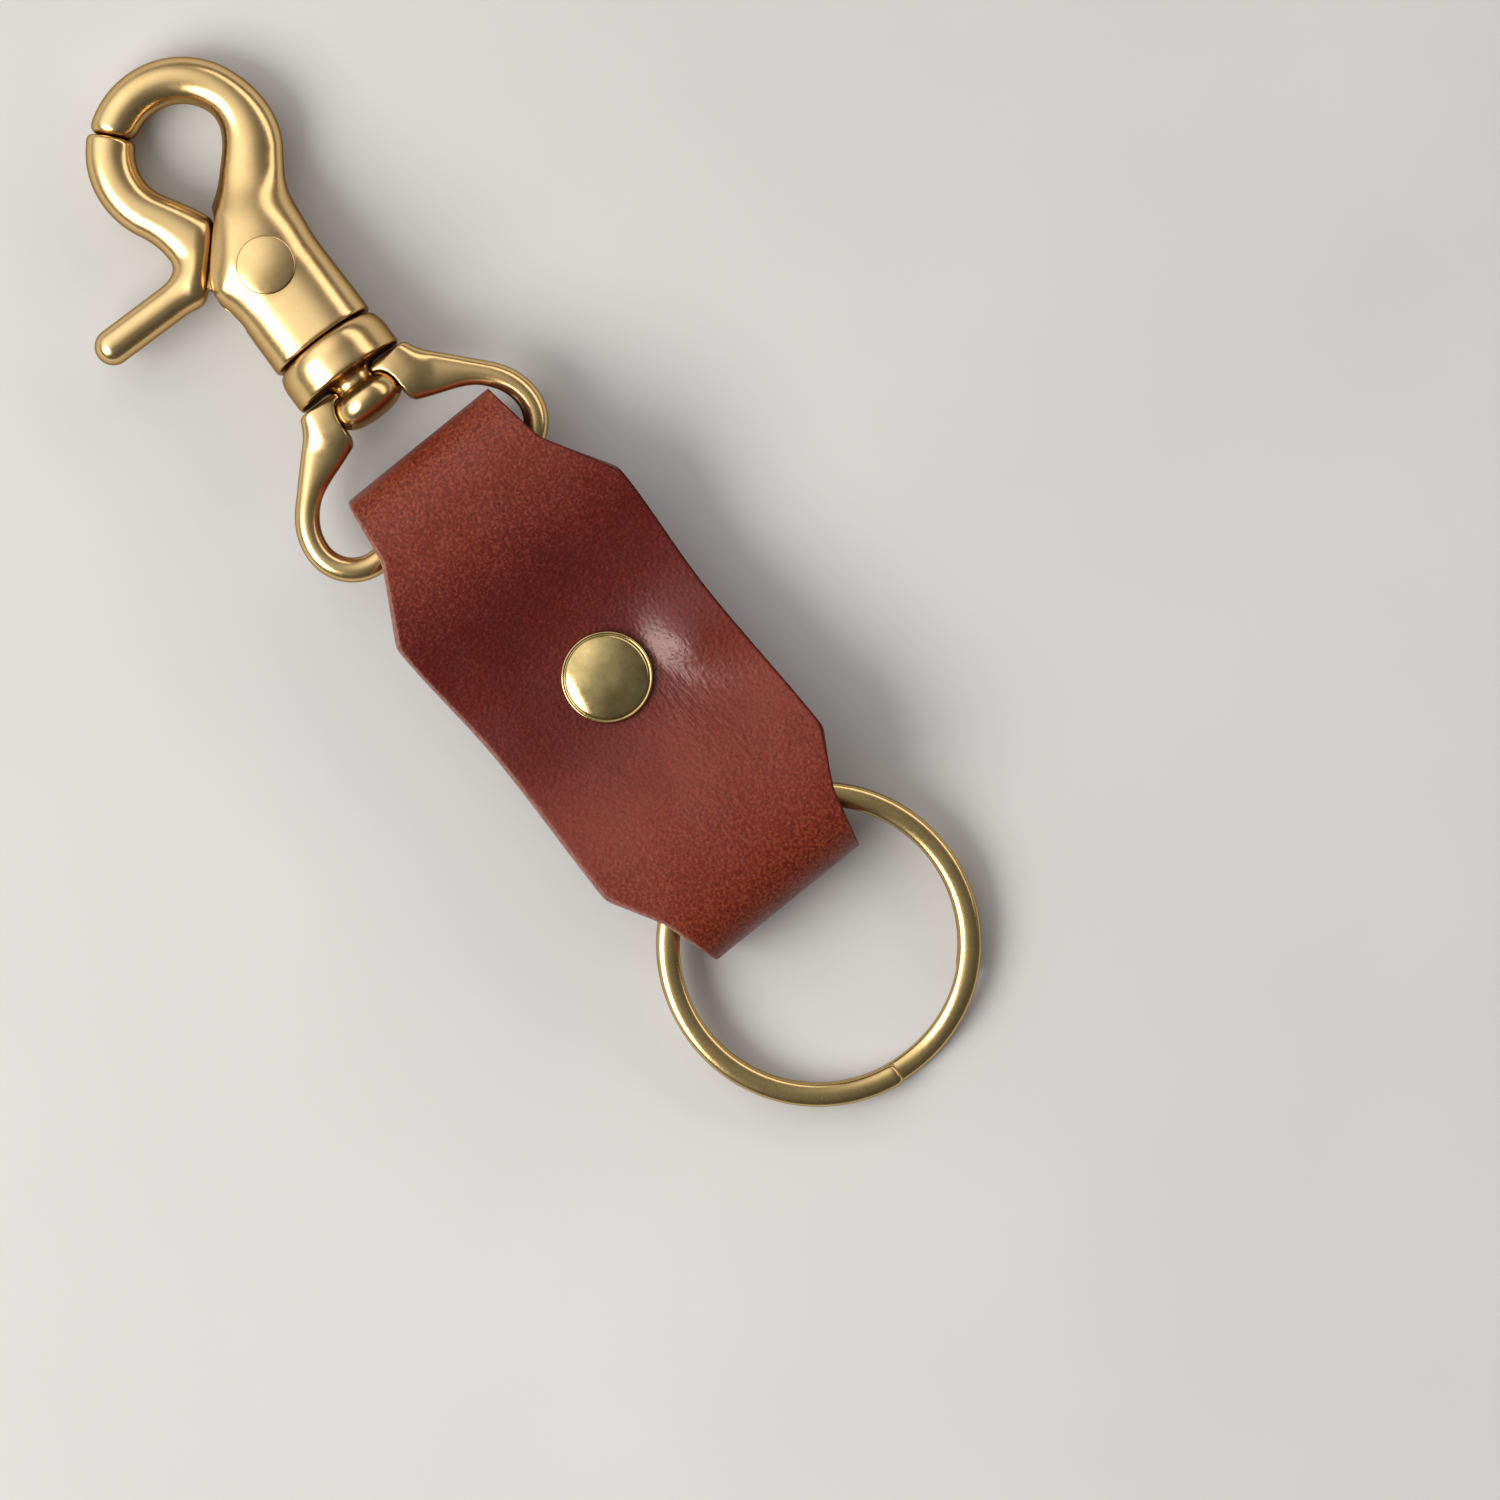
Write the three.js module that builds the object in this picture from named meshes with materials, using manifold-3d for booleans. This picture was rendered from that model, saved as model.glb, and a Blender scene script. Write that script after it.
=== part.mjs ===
// A leather key fob: one folded strap that carries a brass swivel snap with a sprung trigger at
// one end and a split key ring at the other. Millimetres, +Z up: the fob lies face up on z = 0
// with its rivet on the Z axis, the snap towards +X, the key ring towards -X and the trigger's
// lever towards +Y.
import * as THREE from "three";
import { mergeVertices } from "three/addons/utils/BufferGeometryUtils.js";
import Module from "manifold-3d";

// Clearances
const SEAT_GAP = 0.3; // between pieces fixed to each other
const RUNNING_GAP = 0.2; // between pieces that turn on each other
const SWIVEL_GAP = 0.35; // loose fit of the stud in the eye
const LAYER_GAP = 0.3; // between layers of leather
const TABLE_GAP = 0.05; // under the pieces that lie on the table

// Leather strap: the panel in front, a loop at each end, two tails crossing behind the rivet
const LEATHER = 2.1; // thickness
const LEATHER_BEVEL = 0.4; // on the long edges
const PANEL_HALF_WIDTH = 15.2;
const FOLD_ROOM = 4.1; // from a fold's edge to the middle of the eye's wire
const TAIL_HALF_WIDTH = 9.2; // at both tail ends
const TAIL_CORNER = 3; // radius on the tail ends
const TAIL_REACH = 8; // of a tail past the rivet
const TAIL_FALL_START = 9; // where a tail leaves the layers at the rivet
const TAIL_FALL = 8; // length of its way down to the table
const PRESSED_HALF_LENGTH = 6; // of the flat round the rivet
const FOLD_FULLNESS = 0.62; // 0.55 makes a fold an ellipse, more is squarer
const HOOK_SHOULDER = 16.5; // where the panel starts to narrow
const HOOK_TAB = 24.5; // where it has narrowed
const HOOK_TAB_ROOM = 2.9; // from the tab's edge to the middle of the eye's wire
const HOOK_CREST = 24; // highest point of the loop
const HOOK_LOOP_HEIGHT = 12;
const HOOK_FOLD = 32.2; // end of the fob
const RING_SHOULDER = 18.5;
const RING_TAB = 24.4;
const RING_TAB_HALF_WIDTH = 11.9;
const RING_CREST = 23;
const RING_LOOP_HEIGHT = 12.6;
const RING_FOLD = 31;

// Centre rivet
const RIVET_CAP_RADIUS = 5;
const RIVET_CAP_HEIGHT = 1.6;
const RIVET_CAP_RIM = 0.5;
const RIVET_STEM_RADIUS = 2;
const RIVET_POST_RADIUS = 1.2;
const RIVET_BASE_RADIUS = 4.7;
const RIVET_BASE_CHAMFER = 0.4;
const RIVET_BASE = 1; // thickness

// Key ring: two turns of flat wire
const KEY_RING_RADIUS = 16.25; // to the middle of the wire
const KEY_RING_WIRE_WIDTH = 2.5;
const KEY_RING_WIRE_HEIGHT = 1.2;
const KEY_RING_POWER = 3; // squareness of the wire
const KEY_RING_TURN_GAP = 0.45;
const RING_SLACK = 7.3; // from the inside of the fold to the wire
const KEY_RING_Y = 0.4;
const KEY_RING_STEP_AT = 197; // degrees, where the wire changes level
const KEY_RING_STEP = 40; // degrees that the change takes
const KEY_RING_END_GAP = 4; // degrees between a wire end and the step

// Swivel eye: a D whose straight bar lies in the strap's loop
const EYE_WIRE = 2.7; // diameter
const EYE_HALF_WIDTH = 14; // to the middle of the wire
const EYE_CORNER = 4.5; // radius to the middle of the wire
const EYE_X = 24.8; // bar
const EYE_Y = 1.85;
const EYE_YAW = -2.2; // degrees
const EYE_ROOT_X = 14.7; // where an arm meets the bridge, from the bar
const EYE_ROOT_Y = 5.2;
const EYE_ARM_LEAVE = 5.2; // handle of an arm's curve at the corner
const EYE_ARM_ARRIVE = [-2.2, 2.6]; // handle at the bridge
const EYE_LUG = 4.6; // half of the bridge at its full size, along the wire
const EYE_SWELL = 7.5; // length over which an arm swells into the bridge
const BRIDGE_POWER = 3.4; // squareness of the bridge
const BRIDGE_SETBACK = 0.25; // middle of the bridge past the arms' ends
const BRIDGE_LENGTH = 5.2; // along the swivel axis
const BRIDGE_THICKNESS = 3.1;
const STUD_SPACE_ROUND = 0.8; // corner of the room for the stud's head

// Swivel stud: head, neck, collar and shank turned in one
const STUD_HEAD_RADIUS = 4;
const STUD_HEAD_LENGTH = 3.7;
const STUD_HEAD_PROFILE = [[0.62, 0], [0.9, 0.18], [1, 0.42], [0.97, 0.75], [0.8, 1]]; // shares
const STUD_NECK_RADIUS = 2.4;
const STUD_LIP = 1.05; // of the eye, held between head and collar
const COLLAR_RADIUS = 6.5;
const COLLAR_LENGTH = 4.4;
const COLLAR_FLARE = 0.5; // from the neck to the collar's face
const COLLAR_EDGE = [[0.9, 0], [0.2, 0.25], [0, 0.9]]; // inset and distance from the face
const COLLAR_BELLY = 1.8; // length before the collar rounds in towards the barrel
const COLLAR_ROUND_POWER = 2.4;
const COLLAR_END_RADIUS = 4.9; // at the barrel
const SHANK_LENGTH = 4;

// Snap body: barrel, arm and hook, from the trigger's pivot
const BARREL_LENGTH = 9.5; // barrel's end to pivot
const BARREL_HALF_WIDTH = 6.1;
const BARREL_HALF_HEIGHT = 5.3;
const BARREL_POWER = 2.6; // squareness of the section
const BARREL_STEPS = [0, 0.25, 0.7, 1.4, 5, 10, 11.5, 13, 14.4, 15.5, 16.3, 16.7]; // from its end
const BARREL_ROUND = 1.4; // length of the rounding at its end
const CHEEK_HALF_WIDTH = 6; // at the pivot
const CHEEK_HALF_HEIGHT = 4.6;
const ARM_LENGTH = 14.8; // from the arm's root in the barrel to the hook
const ARM_ROOT_ROUND = 3;
const ARM_ROOT_HALF_WIDTH = 4.6;
const ARM_ROOT_HALF_HEIGHT = 4.2;
const ARM_ROOT_POWER = 2.4;
const ARM_HALF_WIDTH = 3.3; // where it runs into the hook
const HOOK_REACH = 16.2; // pivot to the middle of the hook
const HOOK_RADIUS = 7.7; // to the middle of the hook's section
const HOOK_HALF_WIDTH = 2.55; // of the hook's section
const HOOK_HALF_HEIGHT = 2.6;
const HOOK_POWER = 2.1;
const ARM_ANGLE = -128; // degrees round the hook, where the arm runs into it
const NOSE_ANGLE = 42; // degrees round the hook, where the nose ends
const SEAM_ROUND = 0.8; // length of the rounding at nose and gate
const END_SHARE = 0.9; // size left at a rounded end
const TIP_SHARE = 0.98; // part of a round tip that is drawn
const ROOT_SHARE = 0.9; // part of the arm's round root that is drawn
const ARM_STEPS = [0, 0.04, 0.1, 0.2, 0.35, 0.55, 0.78]; // sections, as shares of the arm
const FLANK_ANGLE = 49.5; // degrees, outward direction of the flank below the trigger
const FLANK_DISTANCE = 6.5; // pivot to flank
const FLANK_HALF_WIDTH = 9;
const FLANK_DEPTH = 4; // cut away from the flank outwards

// Trigger: gate, thumb lever and a tongue in the barrel's slot
const ROOT_ANGLE = 47.5; // degrees, outward direction of the trigger's root face
const ROOT_DISTANCE = 7.15; // pivot to root face
const TRIGGER_OPENING = 34; // degrees
const GATE_START_ANGLE = 118; // degrees round the hook, where the gate leaves its circle
const GATE_ROOT = [4.2, 4.8]; // from the pivot
const GATE_LEAVE = [3, -0.6]; // handle of the gate's curve at its root
const GATE_ARRIVE = 2.5; // handle at the hook's circle
const GATE_ROOT_HALF_WIDTH = 3.6;
const TRIGGER_POWER = 2.2; // squareness of gate and lever
const WEB_BEVEL = 0.9;
const WEB_LOW = [[9.1, 2.9], [10.4, 7.4]]; // corners of the web beside the gate
const WEB_START = 6; // height of the web on the lever
const WEB_TOP = 11.5;
const WEB_FLARE = 1.6;
const LEVER_X = 3.6; // from the pivot
const LEVER_TIP = 20.45;
const LEVER_HALF_WIDTH = 2;
const LEVER_HALF_HEIGHT = 2.2;
const TONGUE_RADIUS = 4.2; // round the pivot
const TONGUE_HALF_HEIGHT = 2;
const TONGUE_WEB = 0.85; // left over the spring's pocket

// Pivot pin
const PIN_RADIUS = 1.5;
const PIN_HEAD_RADIUS = 3.2;
const PIN_HEAD_HEIGHT = 0.9;
const PIN_TAIL_HEIGHT = 0.4; // of the end peened flat at the back
const PIN_SEAT = 0.45; // depth of the flat under each head

// Trigger spring: coiled round the pin in the tongue's pocket, with two straight legs
const SPRING_RADIUS = 2.2; // to the middle of the wire
const SPRING_WIRE = 0.6; // diameter
const SPRING_PITCH = 1.05;
const SPRING_TURNS = 2;
const SPRING_GATE_LEG = 4.6;
const SPRING_LIFT = 0.15; // of the coil over the tongue's back

const RAD = Math.PI / 180;
const UP = new THREE.Vector3(0, 0, 1);
const wasm = await Module();
wasm.setup();

const BRASS = { color: 0xdfbc7e, roughness: 0.3, metalness: 1 };
const RIVET_BRASS = { color: 0xcbb576, roughness: 0.25, metalness: 1 };
const RING_BRASS = { color: 0xceb173, roughness: 0.3, metalness: 1 };
const STEEL = { color: 0xb4b8bc, roughness: 0.35, metalness: 1 };
const HIDE = { color: 0x5d1f18, roughness: 0.55, metalness: 0 };

// Booleans

function toSolid(geometry) {
  const bare = geometry.clone();
  bare.deleteAttribute("normal");
  bare.deleteAttribute("uv");
  const merged = mergeVertices(bare, 1e-4);
  const mesh = new wasm.Mesh({
    numProp: 3,
    vertProperties: new Float32Array(merged.getAttribute("position").array),
    triVerts: new Uint32Array(merged.getIndex().array),
  });
  return new wasm.Manifold(mesh);
}

function toGeometry(solid) {
  const { vertProperties, triVerts } = solid.getMesh();
  const geometry = new THREE.BufferGeometry();
  geometry.setAttribute("position", new THREE.BufferAttribute(vertProperties, 3));
  geometry.setIndex(new THREE.BufferAttribute(triVerts, 1));
  geometry.computeVertexNormals();
  return geometry;
}

function joined(...geometries) {
  const solids = geometries.map(toSolid);
  return toGeometry(solids.reduce((whole, solid) => whole.add(solid)));
}

function cut(geometry, ...tools) {
  const solids = tools.map(toSolid);
  return toGeometry(solids.reduce((whole, solid) => whole.subtract(solid), toSolid(geometry)));
}

// Shapes

// A closed skin over rings of points that follow a path, with a flat cap on each end.
function loft(rings) {
  const sides = rings[0].length;
  const last = (rings.length - 1) * sides;
  const points = rings.flat();
  const index = [];
  for (let ring = 0; ring < last; ring += sides) {
    for (let side = 0; side < sides; side += 1) {
      const next = (side + 1) % sides;
      index.push(ring + side, ring + next, ring + sides + next);
      index.push(ring + side, ring + sides + next, ring + sides + side);
    }
  }
  for (let side = 1; side < sides - 1; side += 1) {
    index.push(0, side + 1, side);
    index.push(last, last + side, last + side + 1);
  }
  const geometry = new THREE.BufferGeometry().setFromPoints(points);
  geometry.setIndex(index);
  return geometry;
}

// Points round a centre on a superellipse: power 2 is an ellipse, more is squarer.
function superellipse(centre, across, up, halfWidth, halfHeight, power, sides) {
  const points = [];
  for (let side = 0; side < sides; side += 1) {
    const angle = ((side + 0.5) / sides) * 2 * Math.PI;
    const c = Math.cos(angle);
    const s = Math.sin(angle);
    const x = halfWidth * Math.sign(c) * Math.abs(c) ** (2 / power);
    const y = halfHeight * Math.sign(s) * Math.abs(s) ** (2 / power);
    points.push(centre.clone().addScaledVector(across, x).addScaledVector(up, y));
  }
  return points;
}

// Direction of a path at one of its points: at an end, that of the parabola through three points.
function direction(path, i) {
  const last = path.length - 1;
  if (i > 0 && i < last) return path[i + 1].clone().sub(path[i - 1]).normalize();
  const inward = i === 0 ? 1 : -1;
  const along = path[i].clone().multiplyScalar(-3 * inward);
  along.addScaledVector(path[i + inward], 4 * inward);
  return along.addScaledVector(path[i + 2 * inward], -inward).normalize();
}

// A bar that lies flat in the XY plane: size(distance) gives its section along the path.
function flatBar(path, size, sides) {
  const lengths = [0];
  for (let i = 1; i < path.length; i += 1) {
    lengths.push(lengths[i - 1] + path[i].distanceTo(path[i - 1]));
  }
  const rings = path.map((point, i) => {
    const along = direction(path, i);
    const across = new THREE.Vector3(-along.y, along.x, 0);
    const { halfWidth, halfHeight, power } = size(lengths[i], lengths[lengths.length - 1]);
    const centre = new THREE.Vector3(point.x, point.y, 0);
    return superellipse(centre, across, UP, halfWidth, halfHeight, power, sides);
  });
  return loft(rings);
}

function lathe(profile, segments) {
  const points = profile.map(([radius, height]) => new THREE.Vector2(radius, height));
  return new THREE.LatheGeometry(points, segments).rotateX(Math.PI / 2);
}

function latheAlongX(profile, segments) {
  return lathe(profile, segments).rotateY(Math.PI / 2);
}

function rod(radius, bottom, top, segments) {
  const cylinder = new THREE.CylinderGeometry(radius, radius, top - bottom, segments);
  return cylinder.rotateX(Math.PI / 2).translate(0, 0, (bottom + top) / 2);
}

function plate(shape, bottom, top, curveSegments) {
  const options = { depth: top - bottom, bevelEnabled: false, curveSegments };
  return new THREE.ExtrudeGeometry(shape, options).translate(0, 0, bottom);
}

// A block from the pivot's side outwards, with its near or far face square to an angle.
function block(angle, from, to, halfWidth, halfHeight) {
  const box = new THREE.BoxGeometry(to - from, 2 * halfWidth, 2 * halfHeight);
  return box.translate((from + to) / 2, 0, 0).rotateZ(angle);
}

function polar(radius, angle) {
  return new THREE.Vector2(radius * Math.cos(angle), radius * Math.sin(angle));
}

function ease(from, to, share) {
  return THREE.MathUtils.lerp(from, to, THREE.MathUtils.smoothstep(share, 0, 1));
}

// Least distance between the points of two rings of a wound wire that are this far apart in the row.
function leastGap(rings, apart) {
  let least = Infinity;
  for (let i = 0; i < rings.length; i += 1) {
    for (const other of rings.slice(i + apart).flat()) {
      for (const point of rings[i]) least = Math.min(least, point.distanceTo(other));
    }
  }
  return least;
}

function arcPoints(centre, radius, from, to, steps) {
  const points = [];
  for (let i = 0; i <= steps; i += 1) {
    points.push(polar(radius, THREE.MathUtils.lerp(from, to, i / steps)).add(centre));
  }
  return points;
}

// Leather strap

const TABLE_LAYER = LEATHER / 2; // heights are to the middle of the leather
const RING_TAIL_LAYER = RIVET_BASE + SEAT_GAP + LEATHER / 2;
const HOOK_TAIL_LAYER = RING_TAIL_LAYER + LEATHER + LAYER_GAP;
const FRONT_LAYER = HOOK_TAIL_LAYER + LEATHER + LAYER_GAP;

function frontHalfWidth(x) {
  const side = x > 0;
  const shoulder = side ? HOOK_SHOULDER : RING_SHOULDER;
  const tab = side ? HOOK_TAB : RING_TAB;
  const fold = side ? HOOK_FOLD : RING_FOLD;
  const tabHalfWidth = side ? HOOK_TAB_HALF_WIDTH : RING_TAB_HALF_WIDTH;
  const { mapLinear, clamp, lerp } = THREE.MathUtils;
  const narrowing = clamp(mapLinear(Math.abs(x), shoulder, tab, 0, 1), 0, 1);
  const taper = clamp(mapLinear(Math.abs(x), tab, fold, 0, 1), 0, 1);
  return lerp(lerp(PANEL_HALF_WIDTH, tabHalfWidth, narrowing), FOLD_HALF_WIDTH, taper);
}

function tailHalfWidth(x, end, fold) {
  const fromEnd = Math.abs(x - end);
  const width = THREE.MathUtils.lerp(TAIL_HALF_WIDTH, FOLD_HALF_WIDTH, fromEnd / Math.abs(fold - end));
  const intoCorner = Math.max(TAIL_CORNER - fromEnd, 0);
  return width - TAIL_CORNER + Math.sqrt(TAIL_CORNER ** 2 - intoCorner ** 2);
}

function xz(x, z) {
  return new THREE.Vector3(x, 0, z);
}

function straight(from, to) {
  return new THREE.LineCurve3(from, to);
}

// A run that starts and ends level.
function levelRun(from, to) {
  const middle = (from.x + to.x) / 2;
  return new THREE.CubicBezierCurve3(from, xz(middle, from.z), xz(middle, to.z), to);
}

// A quarter of a fold, from level to upright or back.
function quarterFold(level, upright, startsLevel) {
  const nearLevel = xz(THREE.MathUtils.lerp(level.x, upright.x, FOLD_FULLNESS), level.z);
  const nearUpright = xz(upright.x, THREE.MathUtils.lerp(upright.z, level.z, FOLD_FULLNESS));
  if (startsLevel) return new THREE.CubicBezierCurve3(level, nearLevel, nearUpright, upright);
  return new THREE.CubicBezierCurve3(upright, nearUpright, nearLevel, level);
}

// Curve parameters of even steps, with a stop where the curve crosses each x in stops.
function steps(curve, count, stops) {
  const values = Array.from({ length: count }, (_, i) => i / count);
  for (const x of stops) {
    let low = 0;
    let high = 1;
    const rising = curve.getPoint(1).x > curve.getPoint(0).x;
    for (let i = 0; i < 24; i += 1) {
      const middle = (low + high) / 2;
      if (curve.getPoint(middle).x < x === rising) low = middle;
      else high = middle;
    }
    if (low > 0.01 && low < 0.99) values.push(low);
  }
  return values.sort((a, b) => a - b);
}

function strapRuns() {
  const ringUpright = xz(LEATHER / 2 - RING_FOLD, RING_LOOP_HEIGHT / 2);
  const hookUpright = xz(HOOK_FOLD - LEATHER / 2, HOOK_LOOP_HEIGHT / 2);
  const ringCrest = xz(-RING_CREST, RING_LOOP_HEIGHT - LEATHER / 2);
  const hookCrest = xz(HOOK_CREST, HOOK_LOOP_HEIGHT - LEATHER / 2);
  const ringBottom = xz(-RING_CREST, TABLE_LAYER);
  const hookBottom = xz(HOOK_CREST, TABLE_LAYER);
  const ringLanding = xz(-TAIL_FALL_START - TAIL_FALL, TABLE_LAYER);
  const hookLanding = xz(TAIL_FALL_START + TAIL_FALL, TABLE_LAYER);
  const ringTail = (x) => tailHalfWidth(x, TAIL_REACH, -RING_FOLD);
  const hookTail = (x) => tailHalfWidth(x, -TAIL_REACH, HOOK_FOLD);
  const cornerStops = (end, way) => [0.1, 0.35, 0.7, 1].map((share) => end + way * share * TAIL_CORNER);
  const stops = [-RING_SHOULDER, -RING_TAB, HOOK_SHOULDER, HOOK_TAB];
  const ringTailFlat = straight(xz(TAIL_REACH, RING_TAIL_LAYER), xz(-TAIL_FALL_START, RING_TAIL_LAYER));
  const hookTailFlat = straight(xz(TAIL_FALL_START, HOOK_TAIL_LAYER), xz(-TAIL_REACH, HOOK_TAIL_LAYER));
  const frontFlat = straight(xz(-PRESSED_HALF_LENGTH, FRONT_LAYER), xz(PRESSED_HALF_LENGTH, FRONT_LAYER));
  return [
    { curve: ringTailFlat, count: 1, stops: cornerStops(TAIL_REACH, -1), half: ringTail },
    { curve: levelRun(ringTailFlat.v2, ringLanding), count: 6, half: ringTail },
    { curve: straight(ringLanding, ringBottom), count: 1, half: ringTail },
    { curve: quarterFold(ringBottom, ringUpright, true), count: 7, half: ringTail },
    { curve: quarterFold(ringCrest, ringUpright, false), count: 7, stops, half: frontHalfWidth },
    { curve: levelRun(ringCrest, frontFlat.v1), count: 9, stops, half: frontHalfWidth },
    { curve: frontFlat, count: 1, half: frontHalfWidth },
    { curve: levelRun(frontFlat.v2, hookCrest), count: 9, stops, half: frontHalfWidth },
    { curve: quarterFold(hookCrest, hookUpright, true), count: 7, stops, half: frontHalfWidth },
    { curve: quarterFold(hookBottom, hookUpright, false), count: 7, half: hookTail },
    { curve: straight(hookBottom, hookLanding), count: 1, half: hookTail },
    { curve: levelRun(hookLanding, hookTailFlat.v1), count: 6, half: hookTail },
    { curve: hookTailFlat, count: 1, stops: cornerStops(-TAIL_REACH, 1), half: hookTail },
  ];
}

function strapSection(curve, share, half) {
  const centre = curve.getPoint(share);
  const along = curve.getTangent(share);
  const across = new THREE.Vector3(0, 1, 0);
  const out = new THREE.Vector3().crossVectors(along, across);
  const width = half(centre.x);
  const inner = width - LEATHER_BEVEL;
  const skin = LEATHER / 2;
  const edge = skin - LEATHER_BEVEL;
  const corners = [
    [width, edge], [inner, skin], [-inner, skin], [-width, edge],
    [-width, -edge], [-inner, -skin], [inner, -skin], [width, -edge],
  ];
  return corners.map(([y, z]) => centre.clone().addScaledVector(across, y).addScaledVector(out, z));
}

function leatherStrap() {
  const runs = strapRuns();
  const rings = runs.flatMap(({ curve, count, stops = [], half }) =>
    steps(curve, count, stops).map((share) => strapSection(curve, share, half)));
  const { curve, half } = runs[runs.length - 1];
  rings.push(strapSection(curve, 1, half));
  const hole = rod(RIVET_STEM_RADIUS + SEAT_GAP, -1, FRONT_LAYER + LEATHER, 24);
  return cut(loft(rings), hole);
}

// Centre rivet

const CAP_SEAT = FRONT_LAYER + LEATHER / 2 + SEAT_GAP;
const CAP_TOP = CAP_SEAT + RIVET_CAP_HEIGHT;

function rivetCap() {
  const bore = RIVET_POST_RADIUS + SEAT_GAP;
  const stemEnd = RIVET_BASE + SEAT_GAP;
  const profile = [[0, CAP_SEAT], [bore, CAP_SEAT], [bore, stemEnd], [RIVET_STEM_RADIUS, stemEnd]];
  profile.push([RIVET_STEM_RADIUS, CAP_SEAT], [RIVET_CAP_RADIUS - RIVET_CAP_RIM / 2, CAP_SEAT]);
  const rim = CAP_SEAT + RIVET_CAP_RIM;
  for (let i = 0; i <= 5; i += 1) {
    const angle = (i / 5) * (Math.PI / 2);
    profile.push([RIVET_CAP_RADIUS * Math.cos(angle), rim + (CAP_TOP - rim) * Math.sin(angle)]);
  }
  profile[profile.length - 1][0] = 0;
  return lathe(profile, 32);
}

function rivetPost() {
  const chamfer = RIVET_BASE_RADIUS - RIVET_BASE_CHAMFER;
  const profile = [[0, 0], [chamfer, 0], [RIVET_BASE_RADIUS, RIVET_BASE_CHAMFER]];
  profile.push([RIVET_BASE_RADIUS, RIVET_BASE], [RIVET_POST_RADIUS, RIVET_BASE]);
  profile.push([RIVET_POST_RADIUS, CAP_SEAT - SEAT_GAP], [0, CAP_SEAT - SEAT_GAP]);
  return lathe(profile, 32);
}

// Key ring

const TURN_RISE = KEY_RING_WIRE_HEIGHT + KEY_RING_TURN_GAP;
const KEY_RING_HEIGHT = TURN_RISE + KEY_RING_WIRE_HEIGHT;

// Height of the wire's middle at an angle counted along both turns.
function keyRingLevel(angle) {
  const share = THREE.MathUtils.clamp((angle - 360) / KEY_RING_STEP + 0.5, 0, 1);
  return ease(-TURN_RISE / 2, TURN_RISE / 2, share);
}

function keyRing() {
  const start = KEY_RING_STEP / 2 + KEY_RING_END_GAP;
  const end = 720 - start;
  const count = 88;
  const rings = [];
  for (let i = 0; i <= count; i += 1) {
    const angle = THREE.MathUtils.lerp(start, end, i / count);
    const direction = polar(1, (angle + KEY_RING_STEP_AT) * RAD);
    const inward = new THREE.Vector3(-direction.x, -direction.y, 0);
    const centre = inward.clone().multiplyScalar(-KEY_RING_RADIUS).setZ(keyRingLevel(angle));
    const halfWidth = KEY_RING_WIRE_WIDTH / 2;
    rings.push(superellipse(centre, inward, UP, halfWidth, KEY_RING_WIRE_HEIGHT / 2, KEY_RING_POWER, 10));
  }
  console.log(`key_ring: least gap between its turns ${leastGap(rings, 20).toFixed(2)} mm`);
  return loft(rings);
}

// Swivel eye, with the bar's middle as its origin

const BRIDGE_X = EYE_ROOT_X + BRIDGE_SETBACK; // middle of the bridge
const BRIDGE_MIDDLE = 0.2; // last section on each side of the axis
const LIP_X = BRIDGE_X + BRIDGE_LENGTH / 2 - STUD_LIP; // inner face of the lips behind the head
const SWIVEL_X = LIP_X - SWIVEL_GAP; // where the stud's head meets its neck

function eyeHalfPath() {
  const cornerCentre = new THREE.Vector2(EYE_CORNER, EYE_HALF_WIDTH - EYE_CORNER);
  const corner = arcPoints(cornerCentre, EYE_CORNER, Math.PI, Math.PI / 2, 6);
  const top = corner[corner.length - 1];
  const root = new THREE.Vector2(EYE_ROOT_X, EYE_ROOT_Y);
  const leaveTop = top.clone().add(new THREE.Vector2(EYE_ARM_LEAVE, 0));
  const reachRoot = root.clone().add(new THREE.Vector2(...EYE_ARM_ARRIVE));
  const arm = new THREE.CubicBezierCurve(top, leaveTop, reachRoot, root).getPoints(9).slice(1);
  const bridge = [EYE_ROOT_Y / 2, BRIDGE_MIDDLE].map((y) => new THREE.Vector2(BRIDGE_X, y));
  return [...corner, ...arm, ...bridge];
}

// Everything round the swivel axis that the stud needs to turn in.
function studSpace() {
  const head = STUD_HEAD_RADIUS + SWIVEL_GAP;
  const neck = STUD_NECK_RADIUS + SWIVEL_GAP;
  const before = BRIDGE_X - 2 * BRIDGE_LENGTH;
  const after = BRIDGE_X + 2 * BRIDGE_LENGTH;
  const profile = [[0, before], [head, before], [head, LIP_X - STUD_SPACE_ROUND]];
  profile.push([head - STUD_SPACE_ROUND, LIP_X], [neck, LIP_X], [neck, after], [0, after]);
  return latheAlongX(profile, 28);
}

function swivelEye() {
  const upper = eyeHalfPath();
  const lower = upper.map((point) => new THREE.Vector2(point.x, -point.y)).reverse();
  const path = [...lower, ...upper];
  const size = (distance, length) => {
    const fromEnd = Math.min(distance, length - distance);
    const share = 1 - (fromEnd - EYE_LUG) / EYE_SWELL;
    return {
      halfWidth: ease(EYE_WIRE / 2, BRIDGE_LENGTH / 2, share),
      halfHeight: ease(EYE_WIRE / 2, BRIDGE_THICKNESS / 2, share),
      power: ease(2, BRIDGE_POWER, share),
    };
  };
  return cut(flatBar(path, size, 14), studSpace());
}

// Swivel stud, with the trigger's pivot as its origin

const COLLAR_START = -BARREL_LENGTH - SEAT_GAP;
const COLLAR_END = COLLAR_START - COLLAR_LENGTH;
const HEAD_START = COLLAR_END - STUD_LIP - 2 * SWIVEL_GAP;
const HEAD_END = HEAD_START - STUD_HEAD_LENGTH;

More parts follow.
